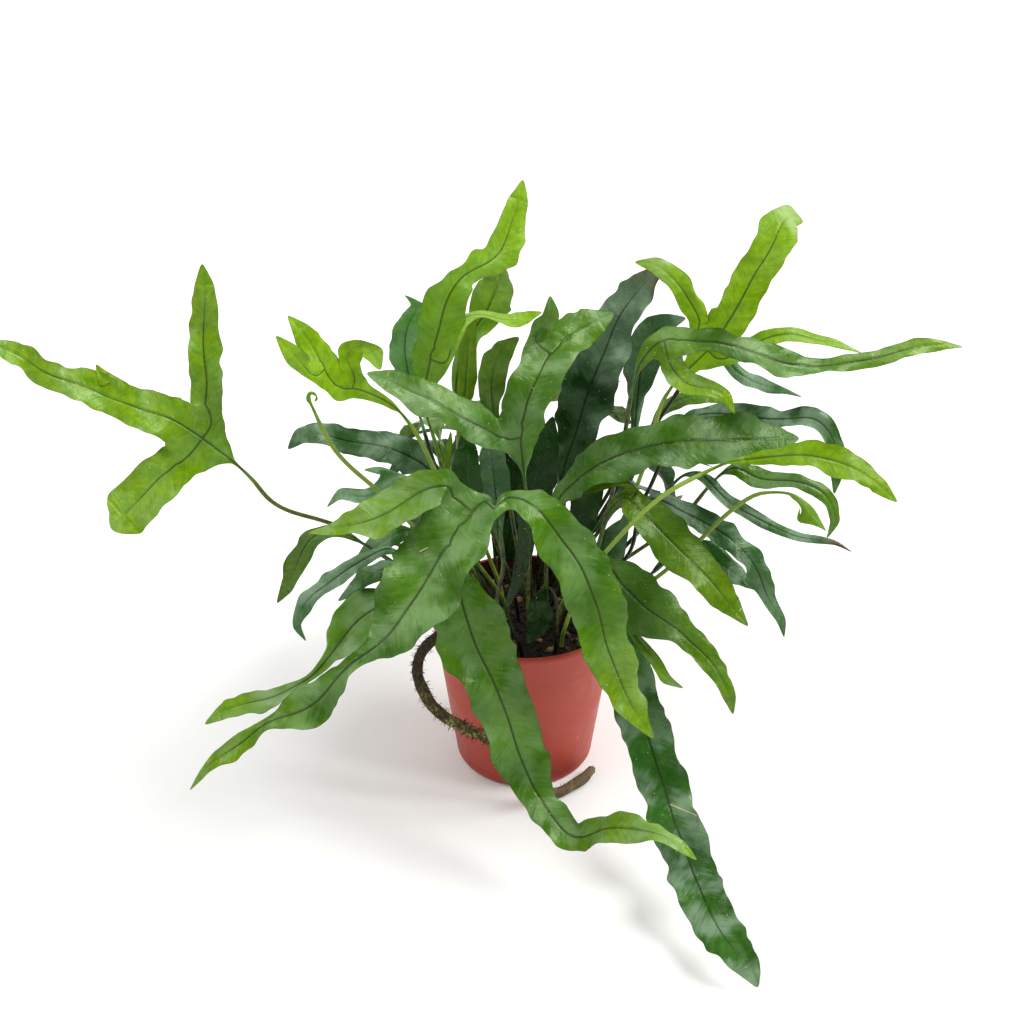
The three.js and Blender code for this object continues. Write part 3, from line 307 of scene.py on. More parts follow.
    # dried water specks and short hairline scratches
    specks = scatterMarks(tree, place, size["speckSpacing"], look["specks"], 0.05, 0.1, 1)
    stretch = addNode(tree, "ShaderNodeMapping", None,
                      {"Vector": place, "Rotation": (0.3, 0.7, 0.9), "Scale": (1.0, 0.16, 1.0)})
    scratches = scatterMarks(tree, stretch, size["scratchSpacing"], look["specks"] * 0.3, 0.025, 0.05, 1)
    marks = addNode(tree, "ShaderNodeMath", larger, [specks, scratches])
    wear = addNode(tree, "ShaderNodeMath", times, [marks, blade])
    wearShare = addNode(tree, "ShaderNodeMath", times, [wear, 0.75])
    colour = addNode(tree, "ShaderNodeMix", tint, {0: wearShare, 6: colour, 7: hexColour(size["worn"])})

    # the last of an old tip is dead and brown
    crisp = addNode(tree, "ShaderNodeMix", tint,
                    {0: mottle, 6: hexColour(size["crisp"]), 7: hexColour(size["crispDark"])})
    colour = addNode(tree, "ShaderNodeMix", tint, {0: dry, 6: colour, 7: crisp})

    # waxy skin: it shines in patches, and less on the specks
    wax = addNode(tree, "ShaderNodeMapRange", soft,
                  [cloud["wax"], 0.34, 0.66, look["rough"] - 0.05, look["rough"] + 0.14])
    skin = addNode(tree, "ShaderNodeMath", scaleAdd, [wear, 0.3, wax])

    # low relief: fine veins, a groove over the rib, pebbling and slow swells
    inner = addNode(tree, "ShaderNodeMapRange", soft, [edge, 0.3, 2.5, 0, look["veinRelief"]])
    ridges = addNode(tree, "ShaderNodeMath", times, [veins, inner])
    groove = addNode(tree, "ShaderNodeMapRange", soft, [rib, 0.2, 1.6, look["ribRelief"], 0])
    grooved = addNode(tree, "ShaderNodeMath", plus, [ridges, groove])
    pebbled = addNode(tree, "ShaderNodeMath", scaleAdd, [cloud["pebble"], 0.3, grooved])
    height = addNode(tree, "ShaderNodeMath", scaleAdd, [cloud["swell"], look["swell"], pebbled])
    bump = addNode(tree, "ShaderNodeBump", None,
                   {"Strength": 0.8, "Distance": size["relief"] * mm, "Height": height})
    setInputs(tree, shader, {"Base Color": colour, "Roughness": skin, "Normal": bump, "IOR": 1.45,
                             "Specular IOR Level": look["shine"], "Specular Tint": hexColour(look["shineTint"])})
    return material


topLook = {
    "deep": "#234c08", "green": "#386e0c", "fresh": "#7e9e06", "freshDeep": "#648e08",
    # bloom: the pale colour of wax and dust, and of the painted sheen laid over them
    "bloom": "#8eae7c", "bloomShow": 0.5,
    "flank": "#508028", "flankShow": 0.2, "rib": "#22230f", "ribYoung": "#34480c", "ribShow": 0.8,
    "marginShow": 0.6, "stipe": "#525c26", "stipeDark": "#2e2a18", "stipeYoung": "#76902c",
    "specks": 0.3, "rough": 0.29, "shine": 0.45, "shineTint": "#e2f4c8", "swell": 1.7,
    "veinShow": 0.1, "veinRelief": 0.5, "ribRelief": -0.6,
}
darkLook = {
    **topLook, "deep": "#083006", "green": "#14480c", "fresh": "#406e0c", "freshDeep": "#2c580a",
    "bloom": "#88a386", "bloomShow": 0.55, "flank": "#345c2e", "flankShow": 0.06, "rib": "#10140c",
    "stipe": "#2c3014", "stipeDark": "#18130c", "rough": 0.28, "shine": 0.4, "shineTint": "#d8f0c4",
    "ribRelief": -0.3,
}
# lime is the young fronds' own colour; it is set lighter still as painted light, for the glow of light through
# the thin blade
limeLook = {
    **topLook, "deep": "#437204", "green": "#588c04", "fresh": "#82aa06", "freshDeep": "#6e9a06",
    "bloom": "#a6c47c", "bloomShow": 0.45, "flank": "#8cb03c", "rib": "#2c400c", "ribYoung": "#385006",
    "specks": 0.1, "stipe": "#66802c", "stipeDark": "#465222", "stipeYoung": "#92ae4a",
    "rough": 0.36, "shine": 0.32,
}
# the back has no wax: duller and greyer, with the rib standing proud
backChange = {"rough": 0.52, "shine": 0.3, "specks": 0.04, "ribRelief": 0.9, "veinShow": 0.16, "flankShow": 0.1}

# living fronds: a waxed, leathery skin that shines softly above, and a matt skin below
leafFinish = {}
for finish, names, look, deep, green in (
        ("mid", ("matureFrond_waxed", "matureFrondBack_matt"), topLook, "#2a541a", "#3a6c26"),
        ("dark", ("oldFrond_waxed", "oldFrondBack_matt"), darkLook, "#1c3c22", "#2c4e30"),
        ("lime", ("youngFrond_satin", "youngFrondBack_matt"), limeLook, "#4a7c10", "#5e9420")):
    below = {**look, **backChange, "deep": deep, "green": green}
    leafFinish[finish] = (leafMaterial(names[0], look), leafMaterial(names[1], below))
print("leaf finishes made")


frondShape = {
    "outlineAngle": 115,  # an edge that turns more than this is the blade's margin
    "rippleHeight": 1.5,
    "rippleLength": 15,
    "frillReach": 1.1,  # waves of the margin in the plane of the blade
    "frillLength": 8.5,
    "sinusTurn": 50,  # an outline that turns more than this is left to round itself
    "tipCrease": 0.35,
    "freshReach": 85,  # how far back from a tip the young colour goes
    "facing": (0.0, -0.5, 0.85),  # the way that the waxed side looks
    "footHeight": 94.5,  # a stipe starts under this height, and within this reach of the pot's axis
    "footReach": 50,
    "skinTurn": 60,  # the two skins of a blade meet at an edge that turns more than this
    "calmReach": 6,  # beside the rib the blade stays calm
    "fitRounds": 2,  # how often, and how far at most, a point moves to meet the smooth surface
    "fitStep": 1.5,
    "finePieces": 3,  # times that each edge is halved, on a frond in sight and on a hidden one
    "plainPieces": 2,
}

# by finish: how young the blade is, how young its tips are from left to right, how bright, and how waxed; the
# brightness is partly painted shade, darker on the inner fronds, and partly painted light, lighter on backlit
# ones, and the wax carries painted sheen
fronds = {
    "mid": {
        "frond_far_left_paw": (0.45, (1.0, 0.85, 0.85), 0.56, 0.5),
        "frond_centre_fork": (0.12, (0.25,), 0.5, 1.2),
        "frond_behind_tall": (0.3, (0.6,), 0.85, 1.4),
        "frond_long_right": (0.12, (0.75, 0.95), 0.52, 0.6),
        "frond_wide_right": (0.1, (0.1,), 0.46, 0.7),
        "frond_right_mid": (0.1, (0.5, 0.7), 0.38, 0.0),
        "frond_right_low": (0.14, (0.5,), 0.44, 0.15),
        "frond_right_small": (0.15, (0.5,), 0.7, 1.0),
        "frond_right_curl": (0.1, (0.3,), 0.55, 0.8),
        "frond_front_paw": (0.14, (0.3, 0.5, 0.85), 0.51, 0.75),
        "frond_low_left": (0.2, (0.6,), 0.64, 1.3),
        "frond_left_tuft_high": (0.12, (0.5,), 0.32, 0.5),
        "frond_back_cluster": (0.2, (0.5,), 0.42, 0.9),
        "frond_back_right_low": (0.15, (0.4,), 0.5, 0.5),
        "frond_hanging_front": (0.16, (0.9,), 0.5, 0.75),
        "frond_far_side_3": (0.1, (0.5,), 0.5, 0.6),
        "frond_far_side_6": (0.2, (0.7,), 0.5, 0.6),
        "frond_far_side_9": (0.1, (0.4,), 0.45, 0.6),
        "frond_far_side_12": (0.15, (0.6,), 0.5, 0.6),
    },
    "lime": {
        "frond_curled_upper_left": (0.75, (1.0,), 0.54, 0.4),
        "frond_tall_bright": (0.28, (1.0,), 0.52, 0.5),
        "frond_bright_right": (0.85, (1.0,), 0.5, 0.2),
        "frond_lime_right": (0.8, (1.0,), 0.4, 0.0),
        "frond_inner_upright": (0.5, (0.7,), 0.45, 0.1),
        "frond_back_lime": (0.6, (0.9,), 0.35, 0.1),
    },
    "dark": {
        "frond_long_dark": (0.3, (0.5,), 0.64, 1.15),
        "frond_large_dark": (0.05, (0.1,), 0.36, 0.5),
        "frond_dark_left": (0.0, (0.1,), 0.62, 2.3),
        "frond_right_dark": (0.0, (0.3,), 0.6, 1.8),
        "frond_right_back": (0.05, (0.3,), 0.7, 1.7),
        "frond_right_thin": (0.1, (0.2,), 0.85, 2.0),
        "frond_right_dull": (0.1, (0.2,), 1.15, 2.6),
        "frond_small_left": (0.1, (0.2,), 1.2, 3.6),
        "frond_left_tuft_low": (0.1, (0.1,), 1.0, 3.8),
        "frond_left_tuft_dark": (0.1, (0.3,), 0.6, 1.2),
        "frond_left_tuft_dull": (0.1, (0.3,), 0.7, 1.0),
        "frond_back_dull": (0.2, (0.6,), 1.7, 3.4),
        "frond_back_right_tall": (0.0, (0.1,), 0.8, 4.5),
        "frond_back_low": (0.0, (0.1,), 0.3, 0.0),
        "frond_inner_glossy": (0.0, (0.1,), 0.9, 4.5),
        "frond_inner_grey": (0.0, (0.1,), 0.8, 3.0),
        "frond_inner_band": (0.0, (0.1,), 0.2, 0.0),
        "frond_inner_low": (0.1, (0.2,), 0.2, 0.0),
        "frond_inner_deep_left": (0.2, (0.2,), 0.4, 0.0),
        "frond_inner_deep_middle": (0.1, (0.1,), 0.3, 0.1),
        "frond_inner_deep_right": (0.1, (0.1,), 0.34, 0.0),
        "frond_right_under": (0.0, (0.2,), 0.5, 1.3),
    },
}
listed = {name for group in fronds.values() for name in group}
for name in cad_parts:
    if name.startswith("frond_") and name not in listed:
        fronds["dark"][name] = (0.04, (0.3,), 0.5, 0.7)
dryTips = {"frond_large_dark": 4, "frond_right_thin": 3}  # brown reach from the tip
# painted sheen: the pale film grows towards the tips of these fronds, standing in for the bright backdrop's
# reflection
sheenTips = {"frond_large_dark": (88, 6.0), "frond_bright_right": (12, 2.6)}  # bloom's reach and gain at the tip


def spreadFrom(starts):
    # shortest way along the edges from the start points, in millimetres
    distance = {vertex: 0.0 for vertex in starts}
    queue = [(0.0, vertex.index, vertex) for vertex in starts]
    heapq.heapify(queue)
    while queue:
        length, _, vertex = heapq.heappop(queue)
        if length > distance[vertex]:
            continue
        for edge in vertex.link_edges:
            other = edge.other_vert(vertex)
            total = length + edge.calc_length() / mm
            if total < distance.get(other, farAway):
                distance[other] = total
                heapq.heappush(queue, (total, other.index, other))
    return distance


def growInside(starts, allowed):
    # the corners reached from the start points over allowed ones
    reached = set(starts)
    front = list(starts)
    while front:
        for edge in front.pop().link_edges:
            for vertex in edge.verts:
                if vertex not in reached and allowed(vertex):
                    reached.add(vertex)
                    front.append(vertex)
    return reached


def markBack(bm, rim):
    # the blade's two skins meet at its margin: the one that looks away takes the second material
    sharp = math.radians(frondShape["skinTurn"])
    unseen = {face for face in bm.faces if any(vertex in rim for vertex in face.verts)}
    back = set()
    while unseen:
        skin = {unseen.pop()}
        front = list(skin)
        while front:
            face = front.pop()
            for edge in face.edges:
                turns = edge.calc_face_angle(0) > sharp and any(v in rim for v in edge.verts)
                for other in edge.link_faces:
                    if not turns and other in unseen:
                        unseen.discard(other)
                        skin.add(other)
                        front.append(other)
        looks = sum((face.normal * face.calc_area() for face in skin), Vector())
        if looks.dot(Vector(frondShape["facing"])) < 0:
            back |= skin
    for face in back:
        face.material_index = 1
    return back


def subdivideFrond(name, mesh, free, levels):
    # smooth surface through the coarse points: the points move out by what the smoothing takes in
    piece = bpy.data.objects.new(name, mesh)
    bpy.context.scene.collection.objects.link(piece)
    smoother = piece.modifiers.new("subdivision", "SUBSURF")
    wanted = [vertex.co.copy() for vertex in mesh.vertices]
    smoother.levels = smoother.render_levels = 1
    for _ in range(frondShape["fitRounds"]):
        trial = evaluated(piece)
        for vertex, target, reached in zip(mesh.vertices, wanted, trial.vertices):
            step = target - reached.co
            if vertex.index not in free:
                vertex.co += step * min(1.0, frondShape["fitStep"] * mm / max(step.length, 1e-9))
        bpy.data.meshes.remove(trial)
        mesh.update()
    smoother.levels = smoother.render_levels = levels
    fine = evaluated(piece)
    bpy.data.objects.remove(piece)
    return fine


def measureBlade(mesh):
    # distances on the fine blade, to its rib lines and to its margin, in millimetres
    measured = {}
    for key, line in (("ribDistance", "ribLine"), ("edgeDistance", "marginLine")):
        marked = {corner for edge, mark in zip(mesh.edges, mesh.attributes[line].data) if mark.value > 0.5
                  for corner in edge.vertices}
        near = kdtree.KDTree(len(marked))
        for corner in sorted(marked):
            near.insert(mesh.vertices[corner].co, corner)
        near.balance()
        found = [near.find(vertex.co) for vertex in mesh.vertices]
        kept = mesh.attributes.new(key, "FLOAT", "POINT")
        kept.data.foreach_set("value", [distance / mm for _, _, distance in found])
        measured[key] = found
        mesh.attributes.remove(mesh.attributes[line])
    return measured


def ruffleMargin(mesh, measured, seed):
    # the margin waves up and down, and in and out
    lift = [0.0] * (3 * len(mesh.vertices))
    mesh.attributes["lift"].data.foreach_get("vector", lift)
    shape = frondShape
    offset = Vector((seed * 3.7, seed * 1.3, -seed * 2.1))
    for i, vertex in enumerate(mesh.vertices):
        ribPlace, _, rib = measured["ribDistance"][i]
        edge = measured["edgeDistance"][i][2]
        if rib < 0.5 * mm:
            continue
        up = Vector(lift[3 * i:3 * i + 3])
        reach = rib / (rib + edge) * min(1.0, rib / (shape["calmReach"] * mm))
        outward = vertex.co - ribPlace
        outward = (outward - up * outward.dot(up)).normalized()
        wave = noise.noise(vertex.co / (shape["rippleLength"] * mm) + offset)
        frill = noise.noise(vertex.co / (shape["frillLength"] * mm) - offset)
        vertex.co += up * wave * 2 * shape["rippleHeight"] * mm * reach ** 2
        vertex.co += outward * (frill - 0.15) * 2 * shape["frillReach"] * mm * reach ** 4


def findOutline(bm):
    # the margin's edges: a fold where a lobe leaves is nearly as sharp, so each corner keeps its two sharpest
    limit = math.radians(frondShape["outlineAngle"])
    outline = {edge for edge in bm.edges if edge.calc_face_angle(0) > limit}
    for vertex in bm.verts:
        sharp = sorted((edge for edge in vertex.link_edges if edge in outline),
                       key=lambda edge: -edge.calc_face_angle(0))
        outline.difference_update(sharp[2:])
    return {edge for edge in outline
            if any(other in outline for vertex in edge.verts for other in vertex.link_edges if other != edge)}


def growFrond(name, finish, young, tipYoung, shade, bloom, dry, levels, seed):
    bm = bmesh.new()
    keys = ("along", "tipDistance", "young", "blade", "shade", "bloom", "dry", "crease_vert")
    layers = {key: bm.verts.layers.float.new(key) for key in keys}
    lines = {key: bm.edges.layers.float.new(key) for key in ("ribLine", "marginLine", "crease_edge")}
    lift = bm.verts.layers.float_vector.new("lift")
    bm.from_mesh(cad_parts[name].data)
    bmesh.ops.remove_doubles(bm, verts=bm.verts, dist=0.001 * mm)
    bm.normal_update()
    bm.verts.index_update()
    outline = findOutline(bm)
    rim = {vertex for edge in outline for vertex in edge.verts}
    foot = [v for v in bm.verts if v.co.z < frondShape["footHeight"] * mm
            and v.co.xy.length < frondShape["footReach"] * mm]
    tips = [v for v in bm.verts if len(v.link_faces) == 4 and v not in foot]
    tips.sort(key=lambda vertex: vertex.co.x)
    # the middle corners of the blade's rings carry the rib, from one ring to the next
    stalk = growInside(foot, lambda vertex: vertex not in rim
                       and not any(edge.other_vert(vertex) in rim for edge in vertex.link_edges))
    middle = {vertex for vertex in bm.verts if vertex not in rim and vertex not in stalk}
    ribs = {edge for edge in bm.edges if all(vertex in middle or vertex in tips for vertex in edge.verts)
            and edge not in outline}
    for edge in bm.edges:
        edge.smooth = not (edge in outline or edge in ribs or any(vertex in tips for vertex in edge.verts))
    bmesh.ops.join_triangles(bm, faces=bm.faces, cmp_sharp=True, angle_face_threshold=math.pi,
                             angle_shape_threshold=math.pi)
    for edge in bm.edges:
        edge.smooth = edge not in outline
        edge[lines["crease_edge"]] = edge[lines["marginLine"]] = 1.0 if edge in outline else 0.0
        edge[lines["ribLine"]] = 1.0 if edge in ribs else 0.0
    bm.normal_update()
    for face in bm.faces:
        face.smooth = True
        face.material_index = 0
    back = markBack(bm, rim)
    fromFoot = spreadFrom(foot)
    for face in bm.faces:
        # where a lobe leaves the blade its rib starts at the ring nearer the foot, and not at both
        if len(face.verts) == 3 and all(edge in ribs for edge in face.edges):
            start = min(face.verts, key=lambda vertex: fromFoot.get(vertex, farAway))
            for edge in face.edges:
                if start not in edge.verts:
                    edge[lines["ribLine"]] = 0.0
    fromTips = [spreadFrom([tip]) for tip in tips]
    tipYoung = list(tipYoung) + [tipYoung[-1]] * len(tips)
    sheenReach, sheenGain = sheenTips.get(name, (1, 0))
    for vertex in bm.verts:
        # a point of the margin lies as far along as the rib beside it
        across = [edge for edge in vertex.link_edges if edge.other_vert(vertex) not in rim]
        beside = vertex
        if across and vertex in rim and vertex not in tips:
            beside = min(across, key=lambda edge: edge.calc_length()).other_vert(vertex)
        vertex[layers["along"]] = fromFoot.get(beside, 0.0)
        reaches = [reach.get(vertex, 0.0) for reach in fromTips]
        vertex[layers["tipDistance"]] = min(reaches, default=200.0)
        ages = [smoothStep(frondShape["freshReach"], 0, reach) * (tipYoung[i] - young)
                for i, reach in enumerate(reaches)]
        vertex[layers["young"]] = young + max(ages, default=0.0)
        vertex[layers["blade"]] = 0.0 if vertex in stalk else 1.0
        vertex[layers["shade"]] = shade
        pale = smoothStep(sheenReach, sheenReach * 0.55, vertex[layers["tipDistance"]])
        vertex[layers["bloom"]] = bloom + sheenGain * pale
        vertex[layers["dry"]] = smoothStep(dry, dry * 0.4, vertex[layers["tipDistance"]]) if dry else 0.0
        vertex[layers["crease_vert"]] = frondShape["tipCrease"] if vertex in tips else 0.0
        looks = Vector()
        for face in vertex.link_faces:
            if any(v in rim for v in face.verts):
                looks += face.normal * face.calc_area() * (-1 if face in back else 1)
        vertex[lift] = looks.normalized() if looks.length > 0 else looks
    bm.verts.index_update()
    free = set()
    for vertex in rim:
        arms = [edge.other_vert(vertex).co - vertex.co for edge in vertex.link_edges if edge in outline]
        turn = 180 - math.degrees(arms[0].angle(arms[1])) if len(arms) == 2 else 180
        if turn > frondShape["sinusTurn"] and vertex not in tips:
            free.add(vertex.index)
    coarse = bpy.data.meshes.new(name)
    bm.to_mesh(coarse)
    bm.free()
    mesh = subdivideFrond(name, coarse, free, levels)
    ruffleMargin(mesh, measureBlade(mesh), seed)
    mesh.attributes.remove(mesh.attributes["lift"])
    mesh.name = name + "_grown"
    piece = newPiece(name + "_grown", mesh, leafFinish[finish][0], name)
    mesh.materials.append(leafFinish[finish][1])
    return piece


hiddenFronds = ("frond_inner", "frond_far_side", "frond_back")
triangles = 0
for finish, group in fronds.items():
    for order, (name, look) in enumerate(sorted(group.items())):
        plain = name.startswith(hiddenFronds)
        levels = frondShape["plainPieces"] if plain else frondShape["finePieces"]
        grown = growFrond(name, finish, *look, dryTips.get(name, 0), levels, order + len(finish))
        triangles += 2 * len(grown.data.polygons)
for order, name in enumerate(("crozier_left", "crozier_right")):
    grown = growFrond(name, "lime", 0.55, (0.6,), 0.42, 0.6, 0, frondShape["plainPieces"], order)
print("fronds grown,", triangles, "triangles")


# pot: turned shell with a rolled lip, a stepped band, a moulding seam near the foot and drain holes
pot = {
    "baseRadius": 43.5,
    "spread": 0.1309,  # how much the wall opens per millimetre of height
    "bandHeight": 86.0,
    "bandStep": 0.7,
    "bandRadius": 58.6,
    "lipBottom": 106.0,
    "height": 110.0,
    "rimRadius": 60.0,
    "wall": 1.6,
    "floor": 2.0,
    "footRadius": 38.0,
    "footRecess": 0.7,
    "seamHeight": 9.0,
    "seamDepth": 0.18,
    "holes": 6,
    "holeRadius": 4.5,
    "holeCircle": 26.0,
    "turnSteps": 128,
    "cornerRadius": 0.28,
    # colours, and where two of them end
    "red": "#a8392a",
    "redLight": "#bc4a38",
    "foot": "#983224",
    "footFade": 50.0,
    "dust": "#c07a68",
    "speck": "#e2c4b4",
    "scuff": "#c98878",
    # painted shade inside the pot, and the height where it starts
    "peatStain": "#22140f",
    "innerShadeLine": 89.0,
    # grain and spacing of the patterns
    "flowSize": 35.7,
    "dustSize": 16.7,
    "skinSize": 1.43,
    "speckSpacing": 6.67,
    "scuffSpacing": 8.33,
}


def aroundAxis(angle, radius, height=0):
    # a place round the pot's axis, from millimetres
    return Vector((math.cos(angle) * radius * mm, math.sin(angle) * radius * mm, height * mm))


def turnedShell(outline, steps):
    # spins an outline of (radius, height) in millimetres round the pot's axis
    bm = bmesh.new()
    corners = [bm.verts.new((radius * mm, 0, height * mm)) for radius, height in outline]
    for start, end in zip(corners, corners[1:]):
        bm.edges.new((start, end))
    bmesh.ops.spin(bm, geom=bm.verts[:] + bm.edges[:], cent=(0, 0, 0), axis=(0, 0, 1),
                   angle=2 * math.pi, steps=steps, use_merge=True)
    bmesh.ops.remove_doubles(bm, verts=bm.verts, dist=0.001 * mm)
    bmesh.ops.recalc_face_normals(bm, faces=bm.faces)
    return bm


def makePot():
    def outside(height):
        return pot["baseRadius"] + pot["spread"] * height

    foot, base, recess = pot["footRadius"], pot["baseRadius"], pot["footRecess"]
    step, band, lip, top = pot["bandStep"], pot["bandHeight"], pot["lipBottom"], pot["height"]
    seam, rim, floor = pot["seamHeight"], pot["rimRadius"], pot["floor"]
    inner = pot["bandRadius"] - pot["wall"]
    bottom = outside(floor) - pot["wall"]
    outline = [
        (0, recess), (foot, recess), (foot + 0.8, 0.0), (base - 2.6, 0.0), (base - 0.9, 0.7), (outside(3.0), 3.0),
        (outside(seam - 0.4), seam - 0.4), (outside(seam) - pot["seamDepth"], seam),
        (outside(seam + 0.4), seam + 0.4), (outside(band - step), band - step), (outside(band) + step, band),
        (pot["bandRadius"], lip), (rim - 0.5, lip + 0.1), (rim, lip + 0.8),
        (rim, top - 0.9), (rim - 0.8, top), (inner + 0.5, top), (inner, top - 0.5),
        (inner, lip), (bottom, floor + 0.6), (bottom - 1.2, floor), (0, floor),
    ]
    bm = turnedShell(outline, pot["turnSteps"])
    # the sharp rings, but not what lies near the axis
    ring = [edge for edge in bm.edges
            if len(edge.link_faces) == 2 and math.radians(18) < edge.calc_face_angle(0)
            and edge.verts[0].co.xy.length > 30 * mm]
    bmesh.ops.bevel(bm, geom=ring, offset=pot["cornerRadius"] * mm, segments=2, profile=0.5,
                    affect="EDGES", material=-1)
    shell = meshFrom(bm, "pot_moulded")
    cutters = bmesh.new()
    for hole in range(pot["holes"]):
        spot = aroundAxis(hole / pot["holes"] * 2 * math.pi, pot["holeCircle"], floor / 2)
        bmesh.ops.create_cone(cutters, cap_ends=True, segments=32, radius1=pot["holeRadius"] * mm,
                              radius2=pot["holeRadius"] * mm, depth=3 * floor * mm,
                              matrix=Matrix.Translation(spot))
    cutter = bpy.data.objects.new("drainCutter", meshFrom(cutters, "drainCutter"))
    blank = bpy.data.objects.new("potBlank", shell)
    for thing in (cutter, blank):
        bpy.context.scene.collection.objects.link(thing)
    drill = blank.modifiers.new("drainHoles", "BOOLEAN")
    drill.operation, drill.solver, drill.object = "DIFFERENCE", "EXACT", cutter
    drilled = evaluated(blank)
    for thing in (cutter, blank):
        bpy.data.objects.remove(thing)
    drilled.set_sharp_from_angle(angle=math.radians(35))
    return drilled


# polypropylene, injection moulded: even satin red, with faint flow marks, dust and hairline scuffs
plastic, tree, shader, place = newMaterial("polypropylene_moulded")
flow, dusty, skin = (
    addNode(tree, "ShaderNodeTexNoise", None, {"Vector": place, "Scale": 1000 / pot[key], "Detail": detail})
    for key, detail in (("flowSize", 3), ("dustSize", 5), ("skinSize", 2)))
parts = addNode(tree, "ShaderNodeSeparateXYZ", None, [place])
low = addNode(tree, "ShaderNodeMapRange", soft, [parts.outputs["Z"], 0, pot["footFade"] * mm, 0.45, 0])
dust = addNode(tree, "ShaderNodeMapRange", soft, [dusty, 0.52, 0.8, 0, 0.3])
specks = scatterMarks(tree, place, pot["speckSpacing"], 0.07, 0.04, 0.1, 0.75)
stretch = addNode(tree, "ShaderNodeMapping", None,
                  {"Vector": place, "Rotation": (0.25, 0.1, 0.0), "Scale": (1.0, 1.0, 0.04)})
scuffs = scatterMarks(tree, stretch, pot["scuffSpacing"], 0.1, 0.02, 0.06, 0.5)
# painted shade: the wall that faces the axis is darkened above the soil, standing in for the shadow inside the
# pot
flat = addNode(tree, "ShaderNodeCombineXYZ", None, [parts.outputs["X"], parts.outputs["Y"]])
facing = addNode(tree, "ShaderNodeNewGeometry").outputs["Normal"]
outward = addNode(tree, "ShaderNodeVectorMath", {"operation": "DOT_PRODUCT"}, [flat, facing]).outputs["Value"]
inside = addNode(tree, "ShaderNodeMapRange", soft, [outward, -30 * mm, -10 * mm, 0.88, 0])
above = addNode(tree, "ShaderNodeMapRange", soft,
                [parts.outputs["Z"], (pot["innerShadeLine"] - 1) * mm, (pot["innerShadeLine"] + 1) * mm, 0, 1])
innerShadeShare = addNode(tree, "ShaderNodeMath", times, [inside, above])
base = addNode(tree, "ShaderNodeMix", tint, {0: flow, 6: hexColour(pot["red"]), 7: hexColour(pot["redLight"])})
for share, coat in ((low, "foot"), (dust, "dust"), (specks, "speck"), (scuffs, "scuff"), (innerShadeShare, "peatStain")):
    base = addNode(tree, "ShaderNodeMix", tint, {0: share, 6: base, 7: hexColour(pot[coat])})
satin = addNode(tree, "ShaderNodeMapRange", soft, [dusty, 0.3, 0.75, 0.4, 0.6])
skinBump = addNode(tree, "ShaderNodeBump", None, {"Strength": 0.25, "Distance": 0.1 * mm, "Height": skin})
setInputs(tree, shader, {"Base Color": base, "Roughness": satin, "Normal": skinBump, "IOR": 1.49,
                         "Specular IOR Level": 0.35})

newPiece("pot_moulded", makePot(), plastic, "pot")
print("pot moulded")


# soil: a crowned plug of peat, with crumbs and bark chips lying on it
soil = {
    "bottom": 2.3,
    "bottomRadius": 41.9,
    "top": 98.0,
    "sunk": 0.8,  # how far the peat's edge lies under the top
    "edgeRadius": 55.5,
    "crown": 3.0,
    "rings": 64,
    "turnSteps": 180,
    "lumpHeight": 1.5,
    "lumpLength": 9.0,
    "grainHeight": 0.7,
    "grainLength": 2.4,
    "crumbs": 900,
    "chips": 46,
    "chipLength": (3.5, 9.0),
    "chipWidth": (0.35, 0.6),  # as a share of its length
    "chipThickness": (1.0, 2.0),
    # colours, and the grain of the patterns
    "peat": "#0c0907",
    "peatLight": "#2b2019",
    "fibre": "#5a4430",
    "bark": "#4a3526",
    "barkLight": "#b08a5e",
    "barkLayer": "#2a1c14",
    "lumpSize": 4.55,
    "fibreSize": 1.11,
    "layerSize": 2.38,
    "chunkSize": 11.1,
}


def soilHeight(place):
    # height of the peat over a point of the pot's plan, in metres
    share = place.xy.length / (soil["edgeRadius"] * mm)
    crown = soil["crown"] * max(0.0, 1 - share * share)
    lump = noise.noise(Vector((place.x, place.y, 0)) / (soil["lumpLength"] * mm)) * soil["lumpHeight"]
    grain = noise.noise(Vector((place.x, place.y, 7)) / (soil["grainLength"] * mm)) * soil["grainHeight"]
    return (soil["top"] - soil["sunk"] + crown + lump * (1 - share ** 6) + grain) * mm


def roughen(verts, amount, length, seed):
    # pushes points in and out by noise, so that no two lumps are alike
    for vertex in verts:
        push = noise.noise_vector(vertex.co / length + Vector((seed, -seed, seed * 2)))
        vertex.co += push * amount


def makePeat(draw):
    edge, rings = soil["edgeRadius"], soil["rings"]
    crossing = [(edge * (1 - ring / rings), soil["top"]) for ring in range(rings + 1)]
    bm = turnedShell([(0, soil["bottom"]), (soil["bottomRadius"], soil["bottom"]), *crossing],
                     soil["turnSteps"])
    for vertex in bm.verts:
        if vertex.co.z > (soil["top"] - 0.01) * mm:
            vertex.co.z = soilHeight(vertex.co)
    for crumb in range(soil["crumbs"]):
        angle, reach = draw.uniform(0, 2 * math.pi), (edge - 1.5) * math.sqrt(draw.random())
        size = 0.5 + 1.5 * draw.random() ** 3  # many small crumbs and few large ones
        spot = aroundAxis(angle, reach)
        spot.z = soilHeight(spot) + size * 0.35 * mm
        made = bmesh.ops.create_icosphere(bm, subdivisions=1, radius=size * mm,
                                          matrix=Matrix.Translation(spot))
        bmesh.ops.scale(bm, verts=made["verts"], vec=(1, draw.uniform(0.6, 1.1), draw.uniform(0.5, 0.9)),
                        space=Matrix.Translation(-spot))
        roughen(made["verts"], size * 0.45 * mm, size * 1.2 * mm, crumb)
    return meshFrom(bm, "soil_peat")


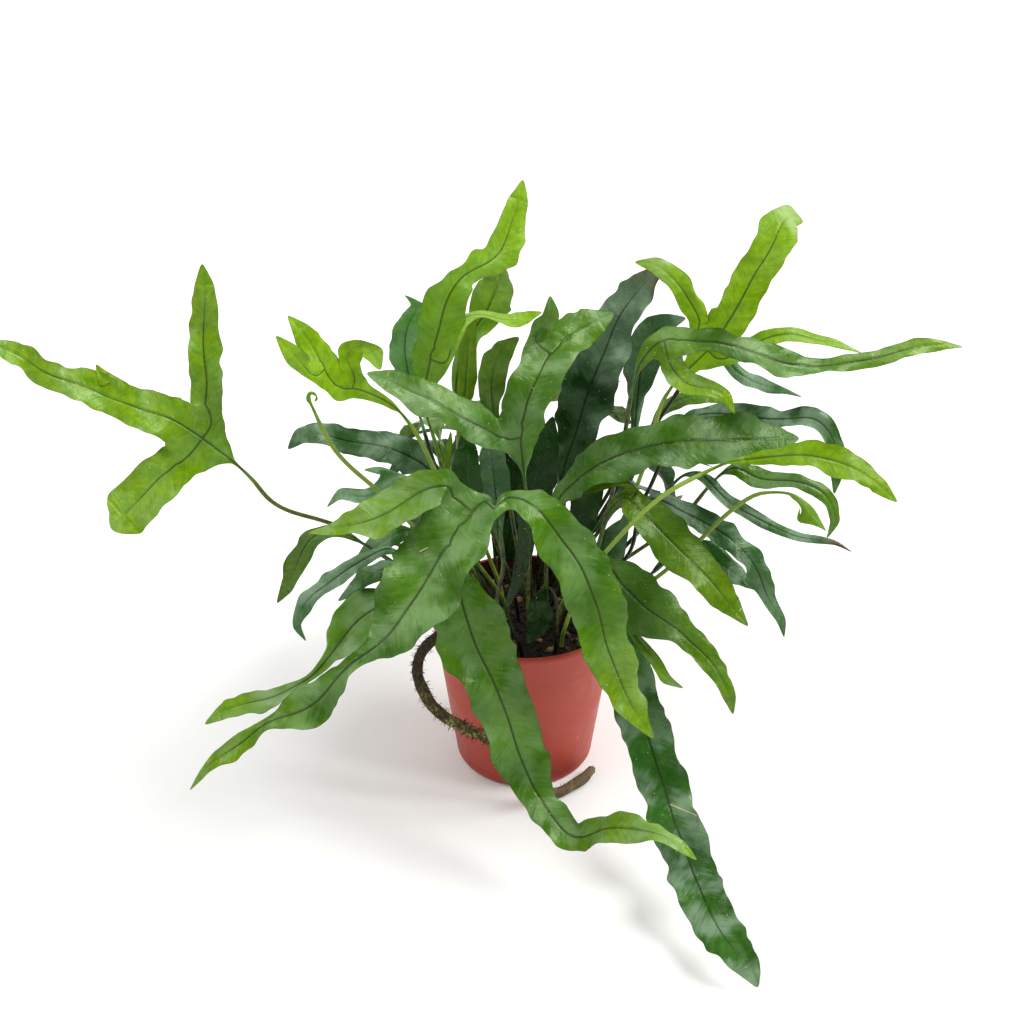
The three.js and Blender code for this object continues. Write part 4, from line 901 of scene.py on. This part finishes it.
def makeChips(draw):
    bm = bmesh.new()
    for chip in range(soil["chips"]):
        angle = chip * goldenAngle + draw.uniform(-0.3, 0.3)
        reach = (soil["edgeRadius"] - 5) * math.sqrt((chip + 0.7) / soil["chips"])
        long = draw.uniform(*soil["chipLength"])
        spot = aroundAxis(angle, reach)
        spot.z = soilHeight(spot) + draw.uniform(0.2, 0.9) * mm
        turn = Matrix.Rotation(draw.uniform(0, math.pi), 4, "Z")
        turn = turn @ Matrix.Rotation(draw.uniform(-0.4, 0.4), 4, "X")
        wide = long * draw.uniform(*soil["chipWidth"])
        size = Matrix.Diagonal((long * mm, wide * mm, draw.uniform(*soil["chipThickness"]) * mm, 1))
        earlier = len(bm.verts)
        made = bmesh.ops.create_cube(bm, size=1.0, matrix=Matrix.Translation(spot) @ turn @ size)
        edges = dict.fromkeys(edge for vertex in made["verts"] for edge in vertex.link_edges)
        bmesh.ops.subdivide_edges(bm, edges=list(edges), cuts=2, use_grid_fill=True)
        roughen(list(bm.verts)[earlier:], long * 0.16 * mm, long * 0.4 * mm, chip * 1.7)
    return meshFrom(bm, "soil_bark", smooth=False)


# peat, sieved: black-brown crumb, damp enough to show a few soft glints
peat, tree, shader, place = newMaterial("peat_sieved")
lump, fibre = (
    addNode(tree, "ShaderNodeTexNoise", None, {"Vector": place, "Scale": 1000 / soil[key], "Detail": detail})
    for key, detail in (("lumpSize", 6), ("fibreSize", 3)))
lumpShare = addNode(tree, "ShaderNodeMapRange", soft, [lump, 0.35, 0.7, 0, 1])
fibreShare = addNode(tree, "ShaderNodeMapRange", soft, [fibre, 0.6, 0.75, 0, 0.6])
base = hexColour(soil["peat"])
for share, coat in ((lumpShare, "peatLight"), (fibreShare, "fibre")):
    base = addNode(tree, "ShaderNodeMix", tint, {0: share, 6: base, 7: hexColour(soil[coat])})
grain = addNode(tree, "ShaderNodeMath", plus, [lump, fibre])
grainBump = addNode(tree, "ShaderNodeBump", None, {"Strength": 0.8, "Distance": 0.8 * mm, "Height": grain})
damp = addNode(tree, "ShaderNodeMapRange", soft, [lump, 0.3, 0.7, 0.65, 0.95])
setInputs(tree, shader, {"Base Color": base, "Roughness": damp, "Normal": grainBump, "Specular IOR Level": 0.3})

# pine bark, chipped: tan and grey-brown plates with dark layers
bark, tree, shader, place = newMaterial("pineBark_chipped")
layers, chunk = (
    addNode(tree, "ShaderNodeTexNoise", None, {"Vector": place, "Scale": 1000 / soil[key], "Detail": detail})
    for key, detail in (("layerSize", 5), ("chunkSize", 1)))
chunkShare = addNode(tree, "ShaderNodeMapRange", soft, [chunk, 0.35, 0.65, 0, 1])
layerShare = addNode(tree, "ShaderNodeMapRange", soft, [layers, 0.42, 0.66, 0, 0.85])
base = hexColour(soil["bark"])
for share, coat in ((chunkShare, "barkLight"), (layerShare, "barkLayer")):
    base = addNode(tree, "ShaderNodeMix", tint, {0: share, 6: base, 7: hexColour(soil[coat])})
barkBump = addNode(tree, "ShaderNodeBump", None, {"Strength": 0.7, "Distance": 0.6 * mm, "Height": layers})
setInputs(tree, shader, {"Base Color": base, "Roughness": 0.85, "Normal": barkBump, "Specular IOR Level": 0.2})

soilDraw = random.Random(12)
newPiece("soil_peat", makePeat(soilDraw), peat, "soil")
newPiece("soil_bark", makeChips(soilDraw), bark, None)
print("soil laid")


# rhizome: a knobbly creeping stem with scales and bristles, broken off at its far end
rhizome = {
    "route": ((-27, -12, 89), (-30, -18, 106), (-37, -32, 117), (-47, -45, 120), (-59, -51, 113),
              (-64, -52, 99), (-61, -54, 84), (-53, -58, 72), (-38, -62, 63), (-24, -64, 56),
              (-9, -65, 42), (4, -63, 24), (12, -58, 10), (20, -53, 4.3), (28, -48, 4.3),
              (36, -41, 4.3), (43, -31, 4.3)),
    "radius": 3.25,
    "knobHeight": 0.55,
    "knobLength": 7.0,
    "scaleHeight": 0.3,
    "scaleLength": 1.8,
    "bristles": 520,
    "bristleLength": (1.4, 4.2),
    "bristleRadius": 0.24,
    "splinters": 16,
    "splinterLength": (1.5, 3.6),
    # colours, and the grain of the patterns
    "scaleBrown": "#5c4e2a",
    "skinGreen": "#949450",
    "flake": "#3a2c1c",
    "upper": "#2c2118",
    "floorEnd": "#6a5842",
    "hair": "#120d09",
    "hairBrown": "#3a2a1a",
    "patchSize": 7.69,
    "flakeSpacing": 1.61,
    "hairGrain": 2.5,
}


def tubeMesh(name, points, radii, closed=True, sides=3, steps=8):
    # a round tube through points in millimetres, with a radius at each of them
    curve = bpy.data.curves.new(name, "CURVE")
    curve.dimensions = "3D"
    curve.bevel_depth = mm
    curve.bevel_resolution = sides
    curve.resolution_u = steps
    curve.use_fill_caps = closed
    spline = curve.splines.new("BEZIER")
    spline.bezier_points.add(len(points) - 1)
    for knot, point, radius in zip(spline.bezier_points, points, radii):
        knot.co = Vector(point) * mm
        knot.radius = radius
        knot.handle_left_type = knot.handle_right_type = "AUTO"
    guide = bpy.data.objects.new(name, curve)
    bpy.context.scene.collection.objects.link(guide)
    mesh = evaluated(guide)
    bpy.data.objects.remove(guide)
    return mesh


def splineSamples(points, count):
    # even places along the same curve, with its direction at each
    curve = tubeMesh("samples", points, [0.01] * len(points), False, 0, 24)
    ring = 4  # corners round the plainest tube
    centres = []
    for start in range(0, len(curve.vertices), ring):
        corners = [curve.vertices[start + i].co for i in range(ring)]
        centres.append(sum(corners, Vector()) / ring)
    lengths = [0.0]
    for a, b in zip(centres, centres[1:]):
        lengths.append(lengths[-1] + (b - a).length)
    samples = []
    i = 0
    for sample in range(count):
        wanted = lengths[-1] * sample / (count - 1)
        while i < len(lengths) - 2 and lengths[i + 1] < wanted:
            i += 1
        span = max(lengths[i + 1] - lengths[i], 1e-9)
        place = centres[i].lerp(centres[i + 1], (wanted - lengths[i]) / span)
        samples.append((place, (centres[i + 1] - centres[i]).normalized()))
    return samples


def drawWay(draw):
    # any direction, not yet of length 1
    return Vector((draw.uniform(-1, 1), draw.uniform(-1, 1), draw.uniform(-1, 1)))


def addThorn(bm, middle, lean, long, footRadius, tipRadius, sides):
    # a thin cone about its middle, with its lengths in millimetres
    turn = lean.to_track_quat("Z", "Y").to_matrix().to_4x4()
    bmesh.ops.create_cone(bm, cap_ends=True, segments=sides, radius1=footRadius * mm, radius2=tipRadius * mm,
                          depth=long * mm, matrix=Matrix.Translation(middle) @ turn)


def makeStem():
    shape = rhizome
    draw = random.Random(4)
    radii = [shape["radius"] * draw.uniform(0.92, 1.1) for _ in shape["route"]]
    radii[-1] = shape["radius"] * 0.8
    bm = bmesh.new()
    bm.from_mesh(tubeMesh("rhizome_stem", shape["route"], radii, True, 10, 18))
    bmesh.ops.remove_doubles(bm, verts=bm.verts, dist=0.01 * mm)
    bmesh.ops.recalc_face_normals(bm, faces=bm.faces)
    bm.normal_update()
    for vertex in bm.verts:
        knob = noise.noise(vertex.co / (shape["knobLength"] * mm)) * shape["knobHeight"]
        scale = abs(noise.noise(vertex.co / (shape["scaleLength"] * mm))) * shape["scaleHeight"]
        vertex.co += vertex.normal * (knob + scale) * mm
    end, along = splineSamples(shape["route"], 200)[-1]
    for splinter in range(shape["splinters"]):
        spread = drawWay(draw)
        lean = (along + spread * 0.35).normalized()
        long = draw.uniform(*shape["splinterLength"])
        place = end + (spread - along * spread.dot(along)) * 1.7 * mm + lean * long * 0.2 * mm
        place.z = max(place.z, 1.2 * mm)
        lean.z = max(lean.z, -0.1)
        addThorn(bm, place, lean, long, 0.7, 0.12, 5)
    return meshFrom(bm, "rhizome_stem")


def makeBristles():
    # stiff hairs all round, thickest where the stem hangs free
    shape = rhizome
    draw = random.Random(9)
    samples = splineSamples(shape["route"], 400)
    bm = bmesh.new()
    for _ in range(shape["bristles"]):
        share = draw.uniform(0.12, 0.97) if draw.random() < 0.4 else draw.uniform(0.2, 0.6)
        place, along = samples[int(share * (len(samples) - 1))]
        outward = drawWay(draw)
        outward = (outward - along * outward.dot(along)).normalized()
        if outward.z < -0.3 and share > 0.72:
            continue  # none under the stretch on the floor
        lean = (outward + along * draw.uniform(-0.2, 0.8)).normalized()
        long = draw.uniform(*shape["bristleLength"])
        root = place + outward * (shape["radius"] - 0.4) * mm + lean * long * 0.5 * mm
        addThorn(bm, root, lean, long, shape["bristleRadius"], 0.04, 4)
    return meshFrom(bm, "rhizome_bristles")


# living rhizome: olive-green skin under brown papery scales, blacker and hairier towards the plant
rind, tree, shader, place = newMaterial("rhizome_scaly")
height = addNode(tree, "ShaderNodeSeparateXYZ", None, [place]).outputs["Z"]
patches = addNode(tree, "ShaderNodeTexNoise", None,
                  {"Vector": place, "Scale": 1000 / rhizome["patchSize"], "Detail": 3})
flakes = addNode(tree, "ShaderNodeTexVoronoi", None, {"Vector": place, "Scale": 1000 / rhizome["flakeSpacing"]})
green = addNode(tree, "ShaderNodeMapRange", soft, [patches, 0.42, 0.62, 0, 1])
flakeShare = addNode(tree, "ShaderNodeMapRange", soft, [flakes, 0.35, 0.6, 0, 0.8])
upper = addNode(tree, "ShaderNodeMapRange", soft, [height, 60 * mm, 100 * mm, 0, 0.85])
floorEnd = addNode(tree, "ShaderNodeMapRange", soft, [height, 8 * mm, 20 * mm, 0.75, 0])
base = hexColour(rhizome["scaleBrown"])
for share, coat in ((green, "skinGreen"), (flakeShare, "flake"), (upper, "upper"), (floorEnd, "floorEnd")):
    base = addNode(tree, "ShaderNodeMix", tint, {0: share, 6: base, 7: hexColour(rhizome[coat])})
relief = addNode(tree, "ShaderNodeMath", minus, [patches, flakes])
reliefBump = addNode(tree, "ShaderNodeBump", None, {"Strength": 0.9, "Distance": 0.5 * mm, "Height": relief})
setInputs(tree, shader, {"Base Color": base, "Roughness": 0.78, "Normal": reliefBump, "Specular IOR Level": 0.3})

# dried hair: nearly black, with brown flecks
driedHair, tree, shader, place = newMaterial("rhizomeHair_dried")
fleck = addNode(tree, "ShaderNodeTexNoise", None,
                {"Vector": place, "Scale": 1000 / rhizome["hairGrain"], "Detail": 2})
base = addNode(tree, "ShaderNodeMix", tint,
               {0: fleck, 6: hexColour(rhizome["hair"]), 7: hexColour(rhizome["hairBrown"])})
setInputs(tree, shader, {"Base Color": base, "Roughness": 0.7, "Specular IOR Level": 0.2})

newPiece("rhizome_stem", makeStem(), rind, "rhizome")
newPiece("rhizome_bristles", makeBristles(), driedHair, None)
print("rhizome laid")


# litter: a dry needle that has dropped on the long frond, and a shorter scrap on the paw
litter = {
    "needle": ((82.5, -114.5, 48.0), (89.4, -119.4, 48.4), (96.3, -126.0, 49.9)),
    "scrap": ((-56.4, -101.9, 209.5), (-54.3, -101.9, 210.7), (-52.1, -101.7, 211.8)),
    "radius": 0.34,
    "straw": "#b79a5c",
    "strawPale": "#eadfae",
    "streakSize": 2.86,
}


def makeLitter():
    bm = bmesh.new()
    for key in ("needle", "scrap"):
        radii = [litter["radius"] * share for share in (1.0, 0.9, 0.5)]
        bm.from_mesh(tubeMesh(key, litter[key], radii, True, 2, 6))
    bmesh.ops.remove_doubles(bm, verts=bm.verts, dist=0.001 * mm)
    bmesh.ops.recalc_face_normals(bm, faces=bm.faces)
    return meshFrom(bm, "leaf_litter")


# dry straw: pale yellow, with darker streaks
straw, tree, shader, place = newMaterial("straw_dried")
streak = addNode(tree, "ShaderNodeTexNoise", None,
                 {"Vector": place, "Scale": 1000 / litter["streakSize"], "Detail": 2})
base = addNode(tree, "ShaderNodeMix", tint,
               {0: streak, 6: hexColour(litter["straw"]), 7: hexColour(litter["strawPale"])})
setInputs(tree, shader, {"Base Color": base, "Roughness": 0.65, "Specular IOR Level": 0.25})

newPiece("leaf_litter", makeLitter(), straw, None)
print("litter laid")
